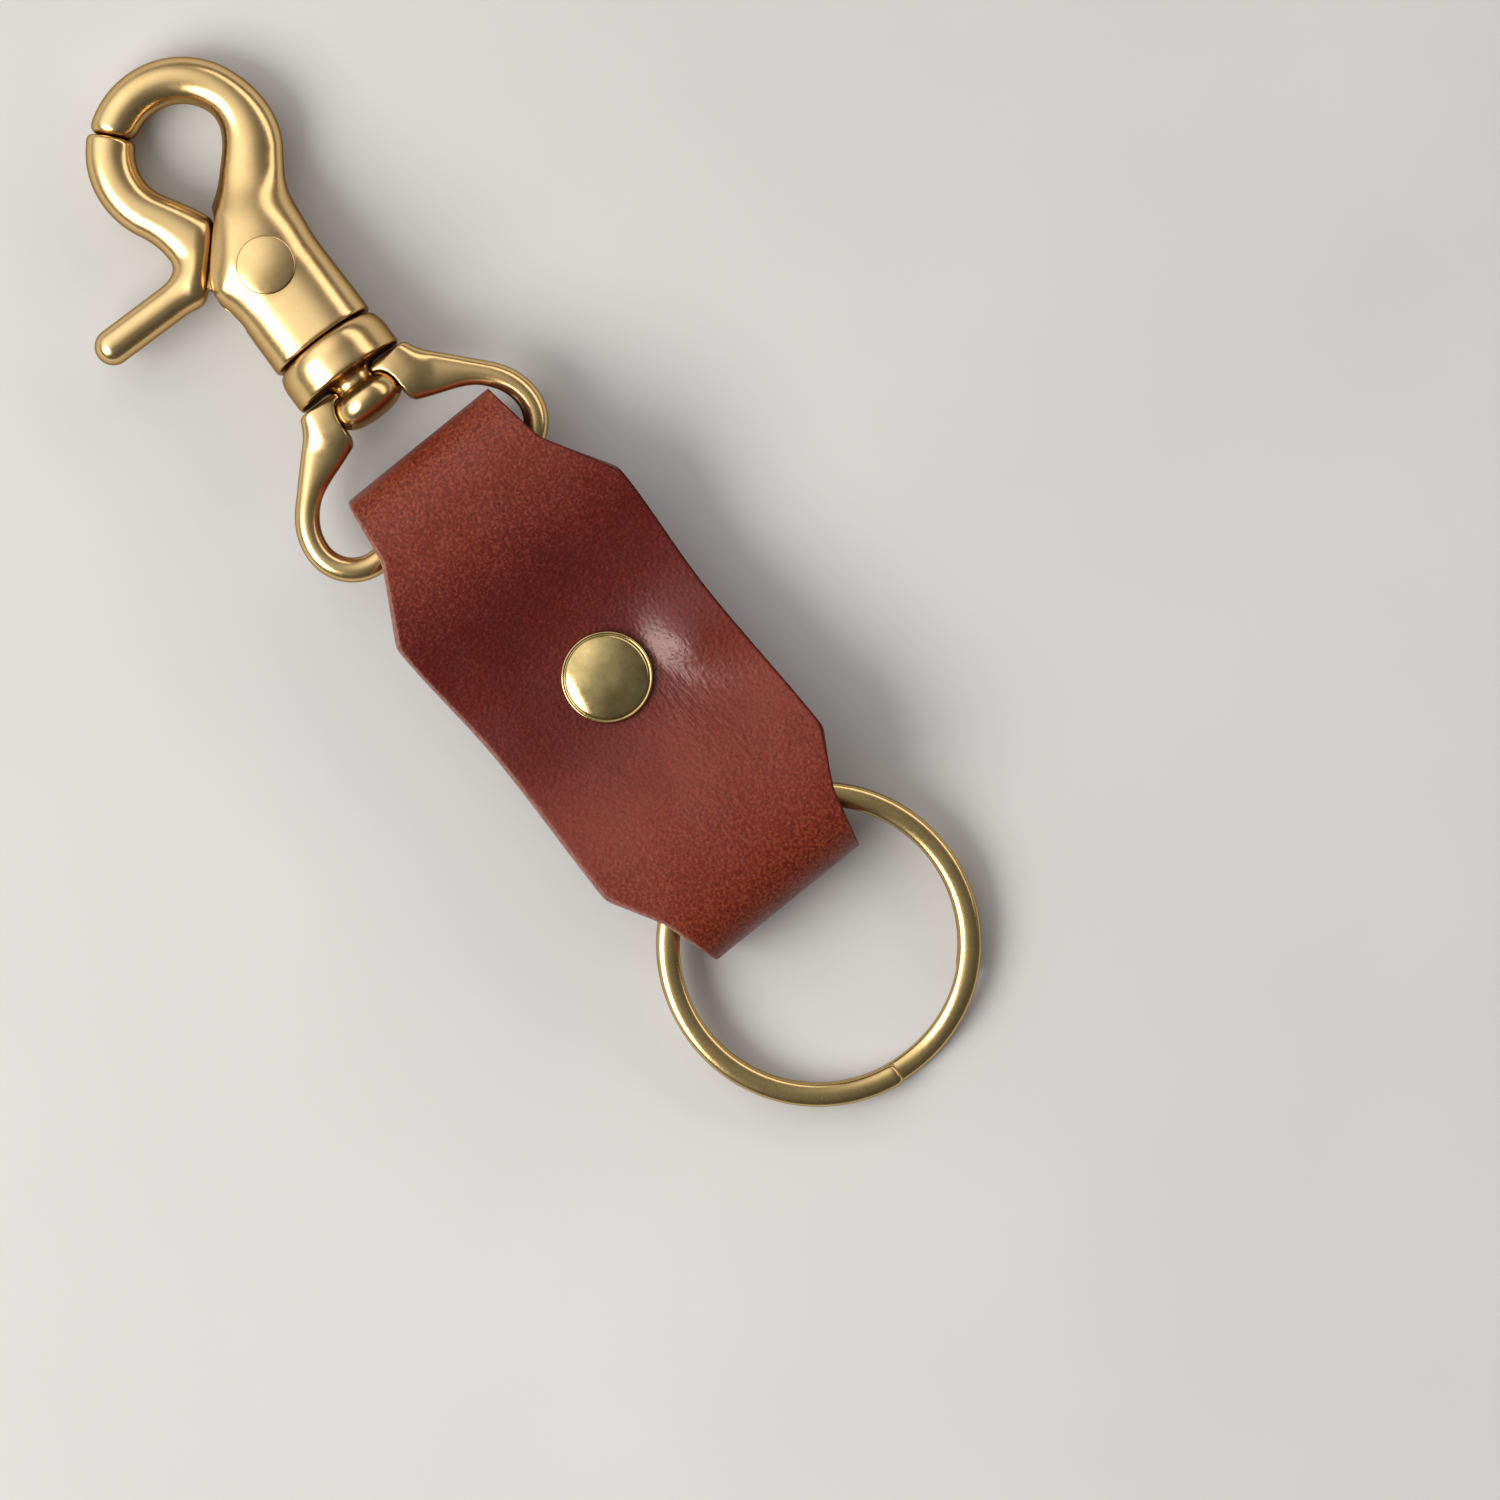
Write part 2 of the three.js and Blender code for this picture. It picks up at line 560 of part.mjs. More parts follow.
function swivelStud() {
  const shankEnd = COLLAR_START + SHANK_LENGTH;
  const profile = [[0, HEAD_END]];
  for (const [across, along] of STUD_HEAD_PROFILE) {
    profile.push([STUD_HEAD_RADIUS * across, HEAD_END + STUD_HEAD_LENGTH * along]);
  }
  profile.push([STUD_NECK_RADIUS, HEAD_START], [STUD_NECK_RADIUS, COLLAR_END + COLLAR_FLARE]);
  for (const [inset, along] of COLLAR_EDGE) {
    profile.push([COLLAR_RADIUS - inset, COLLAR_END + along]);
  }
  profile.push([COLLAR_RADIUS, COLLAR_END + COLLAR_BELLY]);
  for (let i = 1; i <= 5; i += 1) {
    const share = i / 5;
    const x = COLLAR_END + THREE.MathUtils.lerp(COLLAR_BELLY, COLLAR_LENGTH, share);
    const fullness = Math.sqrt(1 - share ** COLLAR_ROUND_POWER);
    profile.push([THREE.MathUtils.lerp(COLLAR_END_RADIUS, COLLAR_RADIUS, fullness), x]);
  }
  profile.push([STUD_NECK_RADIUS, COLLAR_START], [STUD_NECK_RADIUS, shankEnd], [0, shankEnd]);
  return latheAlongX(profile, 32);
}

// Snap body, with the trigger's pivot as its origin

const HOOK_CENTRE = new THREE.Vector2(HOOK_REACH, 0);
const SLOT_RADIUS = TONGUE_RADIUS + 2 * RUNNING_GAP;
const SLOT_HALF_HEIGHT = TONGUE_HALF_HEIGHT + RUNNING_GAP;
const HEAD_SEAT = CHEEK_HALF_HEIGHT - PIN_SEAT; // height of the flat under a pin head

// The slot in the barrel that the tongue swings in, open along the flank.
function slotShape() {
  const far = 2 * FLANK_DISTANCE + TONGUE_RADIUS;
  const low = ROOT_ANGLE * RAD;
  const high = (ROOT_ANGLE + TRIGGER_OPENING) * RAD;
  const shape = new THREE.Shape();
  const lowWall = polar(SLOT_RADIUS, low - Math.PI / 2);
  const highWall = polar(SLOT_RADIUS, high + Math.PI / 2);
  const lowMouth = lowWall.clone().add(polar(far, low));
  const highMouth = highWall.clone().add(polar(far, high));
  shape.moveTo(lowMouth.x, lowMouth.y);
  shape.lineTo(highMouth.x, highMouth.y);
  shape.lineTo(highWall.x, highWall.y);
  shape.absarc(0, 0, SLOT_RADIUS, high + Math.PI / 2, low + 1.5 * Math.PI, false);
  shape.lineTo(lowMouth.x, lowMouth.y);
  return shape;
}

// Barrel, with a round end past the pivot.
function barrel() {
  const { clamp, lerp } = THREE.MathUtils;
  const path = BARREL_STEPS.map((x) => new THREE.Vector2(x - BARREL_LENGTH, 0));
  const size = (distance, length) => {
    const endSize = lerp(END_SHARE, 1, Math.sqrt(clamp(distance / BARREL_ROUND, 0, 1)));
    const intoTip = clamp(1 - (length - distance) / CHEEK_HALF_WIDTH, 0, TIP_SHARE);
    const tipSize = Math.sqrt(1 - intoTip ** 2);
    const share = distance / BARREL_LENGTH;
    return {
      halfWidth: endSize * tipSize * ease(BARREL_HALF_WIDTH, CHEEK_HALF_WIDTH, share),
      halfHeight: endSize * Math.sqrt(tipSize) * ease(BARREL_HALF_HEIGHT, CHEEK_HALF_HEIGHT, share),
      power: BARREL_POWER,
    };
  };
  return flatBar(path, size, 20);
}

// The arm runs straight out of the barrel into the circle of the hook.
function armAndHook() {
  const { clamp, lerp } = THREE.MathUtils;
  const armEnd = polar(HOOK_RADIUS, ARM_ANGLE * RAD).add(HOOK_CENTRE);
  const alongArm = polar(1, ARM_ANGLE * RAD + Math.PI / 2);
  const root = armEnd.clone().addScaledVector(alongArm, -ARM_LENGTH);
  const arm = ARM_STEPS.map((share) => root.clone().lerp(armEnd, share));
  const hook = arcPoints(HOOK_CENTRE, HOOK_RADIUS, ARM_ANGLE * RAD, NOSE_ANGLE * RAD, 24);
  const size = (distance, length) => {
    const intoRoot = clamp(1 - distance / ARM_ROOT_ROUND, 0, ROOT_SHARE);
    const rootSize = Math.sqrt(1 - intoRoot ** 2);
    const noseRound = Math.sqrt(clamp((length - distance) / SEAM_ROUND, 0, 1));
    const round = rootSize * lerp(END_SHARE, 1, noseRound);
    const intoArm = clamp(distance / ARM_LENGTH, 0, 1);
    const intoHook = (distance - ARM_LENGTH) / HOOK_RADIUS;
    const width = lerp(ARM_ROOT_HALF_WIDTH, ARM_HALF_WIDTH, intoArm);
    return {
      halfWidth: round * (width + ease(0, HOOK_HALF_WIDTH - ARM_HALF_WIDTH, intoHook)),
      halfHeight: round * ease(ARM_ROOT_HALF_HEIGHT, HOOK_HALF_HEIGHT, intoArm),
      power: lerp(ARM_ROOT_POWER, HOOK_POWER, intoArm),
    };
  };
  return flatBar([...arm, ...hook], size, 20);
}

function hookBody() {
  const through = 2 * CHEEK_HALF_HEIGHT;
  const flankEnd = FLANK_DISTANCE + FLANK_DEPTH;
  const flank = block(FLANK_ANGLE * RAD, FLANK_DISTANCE, flankEnd, FLANK_HALF_WIDTH, through);
  const slot = plate(slotShape(), -SLOT_HALF_HEIGHT, SLOT_HALF_HEIGHT, 14);
  const pinHole = rod(PIN_RADIUS + RUNNING_GAP, -through, through, 24);
  const headFlat = rod(PIN_HEAD_RADIUS + SEAT_GAP, HEAD_SEAT, through, 28);
  const backFlat = rod(PIN_HEAD_RADIUS + SEAT_GAP, -through, -HEAD_SEAT, 28);
  const shankEnd = COLLAR_START + SHANK_LENGTH + SEAT_GAP;
  const bore = rod(STUD_NECK_RADIUS + SEAT_GAP, COLLAR_END, shankEnd, 24).rotateY(Math.PI / 2);
  return cut(joined(barrel(), armAndHook()), flank, slot, pinHole, headFlat, backFlat, bore);
}

// Trigger, with its pivot as its origin

const SPRING_BOTTOM = -TONGUE_HALF_HEIGHT + SPRING_WIRE / 2 + SPRING_LIFT; // middle of the lowest wire
const SPRING_TOP = SPRING_BOTTOM + SPRING_PITCH * SPRING_TURNS;
const POCKET_RADIUS = SPRING_RADIUS + SPRING_WIRE / 2 + SEAT_GAP;
const POCKET_TOP = TONGUE_HALF_HEIGHT - TONGUE_WEB;

function gate() {
  const start = polar(HOOK_RADIUS, GATE_START_ANGLE * RAD).add(HOOK_CENTRE);
  const alongGate = polar(1, GATE_START_ANGLE * RAD + Math.PI / 2);
  const root = new THREE.Vector2(...GATE_ROOT);
  const leaveRoot = root.clone().add(new THREE.Vector2(...GATE_LEAVE));
  const reachGate = start.clone().addScaledVector(alongGate, GATE_ARRIVE);
  const neck = new THREE.CubicBezierCurve(root, leaveRoot, reachGate, start);
  const tipAngle = NOSE_ANGLE * RAD + SEAT_GAP / HOOK_RADIUS;
  const arc = arcPoints(HOOK_CENTRE, HOOK_RADIUS, GATE_START_ANGLE * RAD, tipAngle, 14).slice(1);
  const neckLength = neck.getLength();
  const size = (distance, length) => {
    const tipRound = Math.sqrt(THREE.MathUtils.clamp((length - distance) / SEAM_ROUND, 0, 1));
    const round = THREE.MathUtils.lerp(END_SHARE, 1, tipRound);
    return {
      halfWidth: round * ease(GATE_ROOT_HALF_WIDTH, HOOK_HALF_WIDTH, distance / neckLength),
      halfHeight: round * HOOK_HALF_HEIGHT,
      power: TRIGGER_POWER,
    };
  };
  return flatBar([...neck.getPoints(8), ...arc], size, 16);
}

function lever() {
  const bottom = ROOT_DISTANCE - 1;
  const path = [0, 0.55, 0.8, 0.9, 0.95, 0.98, 1].map(
    (share) => new THREE.Vector2(LEVER_X, THREE.MathUtils.lerp(bottom, LEVER_TIP, share)));
  const size = (distance, length) => {
    const intoTip = THREE.MathUtils.clamp(1 - (length - distance) / LEVER_HALF_WIDTH, 0, TIP_SHARE);
    const round = Math.sqrt(1 - intoTip ** 2);
    const halfWidth = round * LEVER_HALF_WIDTH;
    return { halfWidth, halfHeight: round * LEVER_HALF_HEIGHT, power: TRIGGER_POWER };
  };
  return flatBar(path, size, 16);
}

// The web that rounds the corner between the lever and the gate.
function triggerWeb() {
  const bevel = WEB_BEVEL;
  const left = LEVER_X - LEVER_HALF_WIDTH + bevel;
  const right = LEVER_X + LEVER_HALF_WIDTH - bevel;
  const [inner, outer] = WEB_LOW;
  const shape = new THREE.Shape();
  shape.moveTo(left, WEB_START);
  shape.lineTo(...inner);
  shape.lineTo(...outer);
  shape.quadraticCurveTo(right + WEB_FLARE, outer[1], right, WEB_TOP);
  shape.lineTo(left, WEB_TOP);
  const depth = 2 * (LEVER_HALF_HEIGHT - bevel);
  const options = { depth, bevelSize: bevel, bevelThickness: bevel, bevelSegments: 3, curveSegments: 6 };
  return new THREE.ExtrudeGeometry(shape, options).translate(0, 0, -depth / 2);
}

function tongueShape(reach) {
  const angle = ROOT_ANGLE * RAD;
  const shape = new THREE.Shape();
  const low = polar(TONGUE_RADIUS, angle - Math.PI / 2).add(polar(reach, angle));
  const high = polar(TONGUE_RADIUS, angle + Math.PI / 2).add(polar(reach, angle));
  shape.moveTo(low.x, low.y);
  shape.lineTo(high.x, high.y);
  shape.absarc(0, 0, TONGUE_RADIUS, angle + Math.PI / 2, angle + 1.5 * Math.PI, false);
  shape.lineTo(low.x, low.y);
  return shape;
}

// A straight channel in the tongue for a spring leg, open at the back of the tongue.
function legChannel(from, to, top) {
  const halfWidth = SPRING_WIRE / 2 + SEAT_GAP;
  const height = top + 2 * TONGUE_HALF_HEIGHT;
  const box = new THREE.BoxGeometry(to - from, 2 * halfWidth, height);
  const placed = box.translate((from + to) / 2, -SPRING_RADIUS, top - height / 2);
  return placed.rotateZ(ROOT_ANGLE * RAD);
}

function trigger() {
  const angle = ROOT_ANGLE * RAD;
  const inside = block(angle, -LEVER_TIP, ROOT_DISTANCE, LEVER_TIP, 2 * LEVER_HALF_HEIGHT);
  const outer = cut(joined(gate(), lever(), triggerWeb()), inside);
  const tongue = plate(tongueShape(ROOT_DISTANCE + 1), -TONGUE_HALF_HEIGHT, TONGUE_HALF_HEIGHT, 14);
  const pinHole = rod(PIN_RADIUS + RUNNING_GAP, -2 * TONGUE_HALF_HEIGHT, 2 * TONGUE_HALF_HEIGHT, 24);
  const pocket = rod(POCKET_RADIUS, -2 * TONGUE_HALF_HEIGHT, POCKET_TOP, 24);
  const bodyLeg = legChannel(-2 * TONGUE_RADIUS, 0, SPRING_BOTTOM + SPRING_WIRE / 2 + SEAT_GAP);
  const gateLeg = legChannel(0, SPRING_GATE_LEG + SEAT_GAP, POCKET_TOP);
  return cut(joined(outer, tongue), pinHole, pocket, bodyLeg, gateLeg);
}

// Pivot pin

function pinHead(seat, height, rim) {
  const profile = [[PIN_RADIUS, seat], [PIN_HEAD_RADIUS, seat]];
  for (let i = 0; i <= 4; i += 1) {
    const angle = (i / 4) * (Math.PI / 2);
    profile.push([PIN_HEAD_RADIUS * Math.cos(angle), seat + rim + (height - rim) * Math.sin(angle)]);
  }
  profile[profile.length - 1][0] = 0;
  return profile;
}

function pivotPin() {
  const seat = HEAD_SEAT + SEAT_GAP;
  const head = pinHead(seat, PIN_HEAD_HEIGHT, PIN_HEAD_HEIGHT / 3);
  const tail = pinHead(seat, PIN_TAIL_HEIGHT, PIN_TAIL_HEIGHT / 2);
  const under = tail.map(([radius, height]) => [radius, -height]).reverse();
  return lathe([...under, ...head], 28);
}

// Trigger spring

function springPath() {
  const endAngle = ROOT_ANGLE * RAD - Math.PI / 2;
  const bodyLeg = Math.sqrt((SLOT_RADIUS - SEAT_GAP) ** 2 - (SPRING_RADIUS + SPRING_WIRE / 2) ** 2);
  const path = [{ angle: endAngle, along: -bodyLeg, z: SPRING_BOTTOM }];
  const curlSteps = 8 * SPRING_TURNS;
  for (let i = 0; i <= curlSteps; i += 1) {
    const turned = (i / curlSteps) * SPRING_TURNS;
    const z = SPRING_BOTTOM + turned * SPRING_PITCH;
    path.push({ angle: endAngle + turned * 2 * Math.PI, along: 0, z });
  }
  path.push({ angle: endAngle, along: SPRING_GATE_LEG, z: SPRING_TOP });
  return path;
}

function triggerSpring() {
  const rings = springPath().map(({ angle, along, z }) => {
    const out = polar(1, angle);
    const inward = new THREE.Vector3(-out.x, -out.y, 0);
    const centre = new THREE.Vector3(out.x * SPRING_RADIUS, out.y * SPRING_RADIUS, z);
    centre.add(new THREE.Vector3(-out.y, out.x, 0).multiplyScalar(along));
    return superellipse(centre, inward, UP, SPRING_WIRE / 2, SPRING_WIRE / 2, 2, 5);
  });
  console.log(`trigger_spring: least gap between its turns ${leastGap(rings, 5).toFixed(2)} mm`);
  return loft(rings);
}

// Assembly

function mesh(name, geometry, finish) {
  const piece = new THREE.Mesh(geometry, new THREE.MeshStandardMaterial(finish));
  piece.name = name;
  return piece;
}

// The snap lies with its collar and the far side of its hook on the table.
const COLLAR_TOUCH = COLLAR_END + COLLAR_BELLY;
const HOOK_TOUCH = HOOK_REACH + HOOK_RADIUS;
const PITCH = Math.asin((COLLAR_RADIUS - HOOK_HALF_HEIGHT) / (HOOK_TOUCH - COLLAR_TOUCH));
const COLLAR_DROP = (HEAD_START - COLLAR_TOUCH) * Math.sin(PITCH);
const SWIVEL_Z = TABLE_GAP + COLLAR_RADIUS * Math.cos(PITCH) - COLLAR_DROP;

// The strap is cut to go through the eye.
const FOLD_HALF_WIDTH = EYE_HALF_WIDTH - FOLD_ROOM; // at both folds
const HOOK_TAB_HALF_WIDTH = EYE_HALF_WIDTH - HOOK_TAB_ROOM;

// The key ring leans on the edges of the lower tail and touches the table with its far side.
const RING_FRONT = LEATHER - RING_FOLD + RING_SLACK; // inside of the ring in the loop
const KEY_RING_X = RING_FRONT + KEY_RING_WIRE_WIDTH / 2 - KEY_RING_RADIUS;
const RING_FAR = KEY_RING_X - KEY_RING_RADIUS - KEY_RING_WIRE_WIDTH / 2;
const RING_INNER = KEY_RING_RADIUS - KEY_RING_WIRE_WIDTH / 2;
const RING_REST_X = KEY_RING_X + Math.sqrt(RING_INNER ** 2 - FOLD_HALF_WIDTH ** 2);
const RING_LEAN = Math.asin((LEATHER + SEAT_GAP) / (RING_REST_X - RING_FAR));
const RING_RISE = (KEY_RING_X - RING_FAR) * Math.sin(RING_LEAN);
const RING_Z = (KEY_RING_HEIGHT / 2) * Math.cos(RING_LEAN) + RING_RISE;

function fob() {
  const group = new THREE.Group();
  group.add(mesh("leather_strap", leatherStrap(), HIDE));
  group.add(mesh("rivet_cap", rivetCap(), RIVET_BRASS));
  group.add(mesh("rivet_post", rivetPost(), RIVET_BRASS));
  return group;
}

function ringGroup() {
  const group = new THREE.Group();
  group.position.set(KEY_RING_X, KEY_RING_Y, RING_Z);
  group.rotation.y = -RING_LEAN;
  group.add(mesh("key_ring", keyRing(), RING_BRASS));
  return group;
}

function snap() {
  const eye = new THREE.Group();
  eye.position.set(EYE_X, EYE_Y, SWIVEL_Z);
  eye.rotation.z = EYE_YAW * RAD;
  eye.add(mesh("swivel_eye", swivelEye(), BRASS));
  const swivel = new THREE.Group();
  swivel.position.x = SWIVEL_X;
  swivel.rotation.y = PITCH;
  eye.add(swivel);
  const pivot = new THREE.Group();
  pivot.position.x = -HEAD_START;
  pivot.add(mesh("swivel_stud", swivelStud(), BRASS));
  pivot.add(mesh("hook_body", hookBody(), BRASS));
  pivot.add(mesh("pivot_pin", pivotPin(), BRASS));
  pivot.add(mesh("trigger_spring", triggerSpring(), STEEL));
  pivot.add(mesh("trigger", trigger(), BRASS));
  swivel.add(pivot);
  return eye;
}

const keychain = new THREE.Group();
keychain.name = "leather_keychain";
keychain.add(fob(), ringGroup(), snap());

export default keychain;
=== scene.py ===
"""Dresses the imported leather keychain: a folded strap, a cast brass snap, a split ring and a rivet."""
import math

import bpy
import numpy as np
from mathutils import Matrix, Vector


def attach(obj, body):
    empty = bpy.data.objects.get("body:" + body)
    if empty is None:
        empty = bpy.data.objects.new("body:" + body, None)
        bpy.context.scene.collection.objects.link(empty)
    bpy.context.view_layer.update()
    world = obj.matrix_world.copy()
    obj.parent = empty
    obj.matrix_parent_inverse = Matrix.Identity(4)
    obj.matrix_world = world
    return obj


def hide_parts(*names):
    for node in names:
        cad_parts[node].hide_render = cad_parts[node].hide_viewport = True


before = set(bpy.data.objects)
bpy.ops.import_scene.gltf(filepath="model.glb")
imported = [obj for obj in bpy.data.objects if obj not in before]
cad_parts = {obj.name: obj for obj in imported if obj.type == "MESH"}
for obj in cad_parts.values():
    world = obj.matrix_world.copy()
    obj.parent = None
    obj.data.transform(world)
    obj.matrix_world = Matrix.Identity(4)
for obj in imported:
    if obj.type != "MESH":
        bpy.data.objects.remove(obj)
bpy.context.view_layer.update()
MM = 0.001

# Sizes in millimetres, as in the part's source
SEAT_GAP = 0.3
RUNNING_GAP = 0.2
SWIVEL_GAP = 0.35
LAYER_GAP = 0.3
TABLE_GAP = 0.05

LEATHER = 2.1
PANEL_HALF_WIDTH = 15.2
FOLD_HALF_WIDTH = 9.9
TAIL_HALF_WIDTH = 9.2
TAIL_CORNER = 3
TAIL_REACH = 8
TAIL_FALL_START = 9
TAIL_FALL = 8
FOLD_FULLNESS = 0.62
HOOK_SHOULDER = 16.5
HOOK_TAB = 24.5
HOOK_TAB_HALF_WIDTH = 11.1
HOOK_CREST = 24
HOOK_LOOP_HEIGHT = 12
HOOK_FOLD = 32.2
RING_SHOULDER = 18.5
RING_TAB = 24.4
RING_TAB_HALF_WIDTH = 11.9
RING_CREST = 23
RING_LOOP_HEIGHT = 12.6
RING_FOLD = 31

RIVET_CAP_RADIUS = 5
RIVET_CAP_HEIGHT = 1.6
RIVET_BASE_RADIUS = 4.7
RIVET_BASE = 1
RIVET_STEM_RADIUS = 2

KEY_RING_RADIUS = 16.25
KEY_RING_WIRE_WIDTH = 2.5
KEY_RING_WIRE_HEIGHT = 1.2
KEY_RING_TURN_GAP = 0.45
RING_SLACK = 7.3
KEY_RING_Y = 0.4
KEY_RING_STEP_AT = 197
KEY_RING_STEP = 40
KEY_RING_END_GAP = 4

EYE_WIRE = 2.7
EYE_HALF_WIDTH = 14
EYE_CORNER = 4.5
EYE_X = 24.8
EYE_Y = 1.85
EYE_YAW = -2.2
EYE_ROOT_X = 14.7
EYE_ROOT_Y = 5.2
EYE_ARM_LEAVE = 5.2
EYE_ARM_ARRIVE = (-2.2, 2.6)
EYE_LUG = 4.6
BRIDGE_SETBACK = 0.25
BRIDGE_LENGTH = 5.2
BRIDGE_THICKNESS = 3.1

STUD_HEAD_RADIUS = 4
STUD_HEAD_LENGTH = 3.7
STUD_NECK_RADIUS = 2.4
STUD_LIP = 1.05
COLLAR_RADIUS = 6.5
COLLAR_LENGTH = 4.4
COLLAR_BELLY = 1.8
COLLAR_END_RADIUS = 4.9
SHANK_LENGTH = 4

BARREL_LENGTH = 9.5
BARREL_HALF_WIDTH = 6.1
BARREL_HALF_HEIGHT = 5.3
CHEEK_HALF_WIDTH = 6
CHEEK_HALF_HEIGHT = 4.6
ARM_LENGTH = 14.8
ARM_ROOT_ROUND = 3
ARM_ROOT_HALF_WIDTH = 4.6
ARM_ROOT_HALF_HEIGHT = 4.2
ARM_HALF_WIDTH = 3.3
HOOK_REACH = 16.2
HOOK_RADIUS = 7.7
HOOK_HALF_WIDTH = 2.55
HOOK_HALF_HEIGHT = 2.6
ARM_ANGLE = math.radians(-128)
NOSE_ANGLE = math.radians(42)
FLANK_ANGLE = math.radians(49.5)
FLANK_DISTANCE = 6.5

ROOT_ANGLE = math.radians(47.5)
ROOT_DISTANCE = 7.15
TRIGGER_OPENING = math.radians(34)
GATE_START_ANGLE = math.radians(118)
GATE_ROOT = (4.2, 4.8)
GATE_LEAVE = (3, -0.6)
GATE_ARRIVE = 2.5
GATE_ROOT_HALF_WIDTH = 3.6
LEVER_X = 3.6
LEVER_TIP = 20.45
LEVER_HALF_WIDTH = 2
LEVER_HALF_HEIGHT = 2.2
TONGUE_RADIUS = 4.2
TONGUE_HALF_HEIGHT = 2
TONGUE_WEB = 0.85

PIN_RADIUS = 1.5
PIN_HEAD_RADIUS = 3.2
PIN_HEAD_HEIGHT = 0.9
PIN_TAIL_HEIGHT = 0.4
PIN_SEAT = 0.45

SPRING_RADIUS = 2.2
SPRING_WIRE = 0.6

# Heights and places that follow from the sizes
TABLE_LAYER = LEATHER / 2
RING_TAIL_LAYER = RIVET_BASE + SEAT_GAP + LEATHER / 2
HOOK_TAIL_LAYER = RING_TAIL_LAYER + LEATHER + LAYER_GAP
FRONT_LAYER = HOOK_TAIL_LAYER + LEATHER + LAYER_GAP
CAP_SEAT = FRONT_LAYER + LEATHER / 2 + SEAT_GAP
BRIDGE_X = EYE_ROOT_X + BRIDGE_SETBACK
LIP_X = BRIDGE_X + BRIDGE_LENGTH / 2 - STUD_LIP
SWIVEL_X = LIP_X - SWIVEL_GAP
COLLAR_START = -BARREL_LENGTH - SEAT_GAP
COLLAR_END = COLLAR_START - COLLAR_LENGTH
HEAD_START = COLLAR_END - STUD_LIP - 2 * SWIVEL_GAP
HEAD_END = HEAD_START - STUD_HEAD_LENGTH
COLLAR_TOUCH = COLLAR_END + COLLAR_BELLY
HOOK_TOUCH = HOOK_REACH + HOOK_RADIUS
PITCH = math.asin((COLLAR_RADIUS - HOOK_HALF_HEIGHT) / (HOOK_TOUCH - COLLAR_TOUCH))
COLLAR_DROP = (HEAD_START - COLLAR_TOUCH) * math.sin(PITCH)
SWIVEL_Z = TABLE_GAP + COLLAR_RADIUS * math.cos(PITCH) - COLLAR_DROP
HEAD_SEAT = CHEEK_HALF_HEIGHT - PIN_SEAT
TURN_RISE = KEY_RING_WIRE_HEIGHT + KEY_RING_TURN_GAP
RING_FRONT = LEATHER - RING_FOLD + RING_SLACK
KEY_RING_X = RING_FRONT + KEY_RING_WIRE_WIDTH / 2 - KEY_RING_RADIUS
RING_FAR = KEY_RING_X - KEY_RING_RADIUS - KEY_RING_WIRE_WIDTH / 2
RING_INNER = KEY_RING_RADIUS - KEY_RING_WIRE_WIDTH / 2
RING_REST_X = KEY_RING_X + math.sqrt(RING_INNER ** 2 - FOLD_HALF_WIDTH ** 2)
RING_LEAN = math.asin((LEATHER + SEAT_GAP) / (RING_REST_X - RING_FAR))
RING_RISE = (KEY_RING_X - RING_FAR) * math.sin(RING_LEAN)
RING_Z = (TURN_RISE + KEY_RING_WIRE_HEIGHT) / 2 * math.cos(RING_LEAN) + RING_RISE

EYE_FRAME = Matrix.Translation((EYE_X, EYE_Y, SWIVEL_Z)) @ Matrix.Rotation(math.radians(EYE_YAW), 4, "Z")
SWIVEL_FRAME = EYE_FRAME @ Matrix.Translation((SWIVEL_X, 0, 0)) @ Matrix.Rotation(PITCH, 4, "Y")
PIVOT_FRAME = SWIVEL_FRAME @ Matrix.Translation((-HEAD_START, 0, 0))
RING_FRAME = Matrix.Translation((KEY_RING_X, KEY_RING_Y, RING_Z)) @ Matrix.Rotation(-RING_LEAN, 4, "Y")


# Small helpers

CORNER_PASSES = 2
CORNER_CUT = 0.25
LATHE_SEGMENTS = 128


def lerp(a, b, share):
    return a + (b - a) * share


def smooth(share):
    share = np.clip(share, 0, 1)
    return share * share * (3 - 2 * share)


def ease(a, b, share):
    return lerp(a, b, smooth(share))


def polar(radius, angle):
    return np.array([radius * math.cos(angle), radius * math.sin(angle)])


def toward(x, y, angle):
    return x * math.cos(angle) + y * math.sin(angle)


def bezier(a, b, c, d, count):
    t = np.linspace(0, 1, count + 1)[:, None]
    a, b, c, d = (np.asarray(p, float) for p in (a, b, c, d))
    return (1 - t) ** 3 * a + 3 * (1 - t) ** 2 * t * b + 3 * (1 - t) * t ** 2 * c + t ** 3 * d


def arc(centre, radius, start, end, count):
    angles = np.linspace(start, end, count + 1)
    return np.stack([np.cos(angles), np.sin(angles)], axis=1) * radius + np.asarray(centre, float)


def length_of(path):
    return np.hypot(*np.diff(path, axis=0).T).sum()


def place(points, matrix):
    m = np.array(matrix)
    return points @ m[:3, :3].T + m[:3, 3]


def add_mesh(name, points, faces, material, body, slot, *nodes, values=None):
    """A smooth mesh in the row frame that rides on a body; points are in millimetres."""
    mesh = bpy.data.meshes.new(name)
    mesh.from_pydata((points * MM).tolist(), [], faces)
    mesh.validate()
    mesh.shade_smooth()
    for key, numbers in (values or {}).items():
        layer = mesh.attributes.new(key, "FLOAT", "POINT")
        layer.data.foreach_set("value", np.asarray(numbers, np.float32))
    mesh.materials.append(material)
    obj = bpy.data.objects.new(name, mesh)
    bpy.context.collection.objects.link(obj)
    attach(obj, body)
    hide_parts(*nodes)


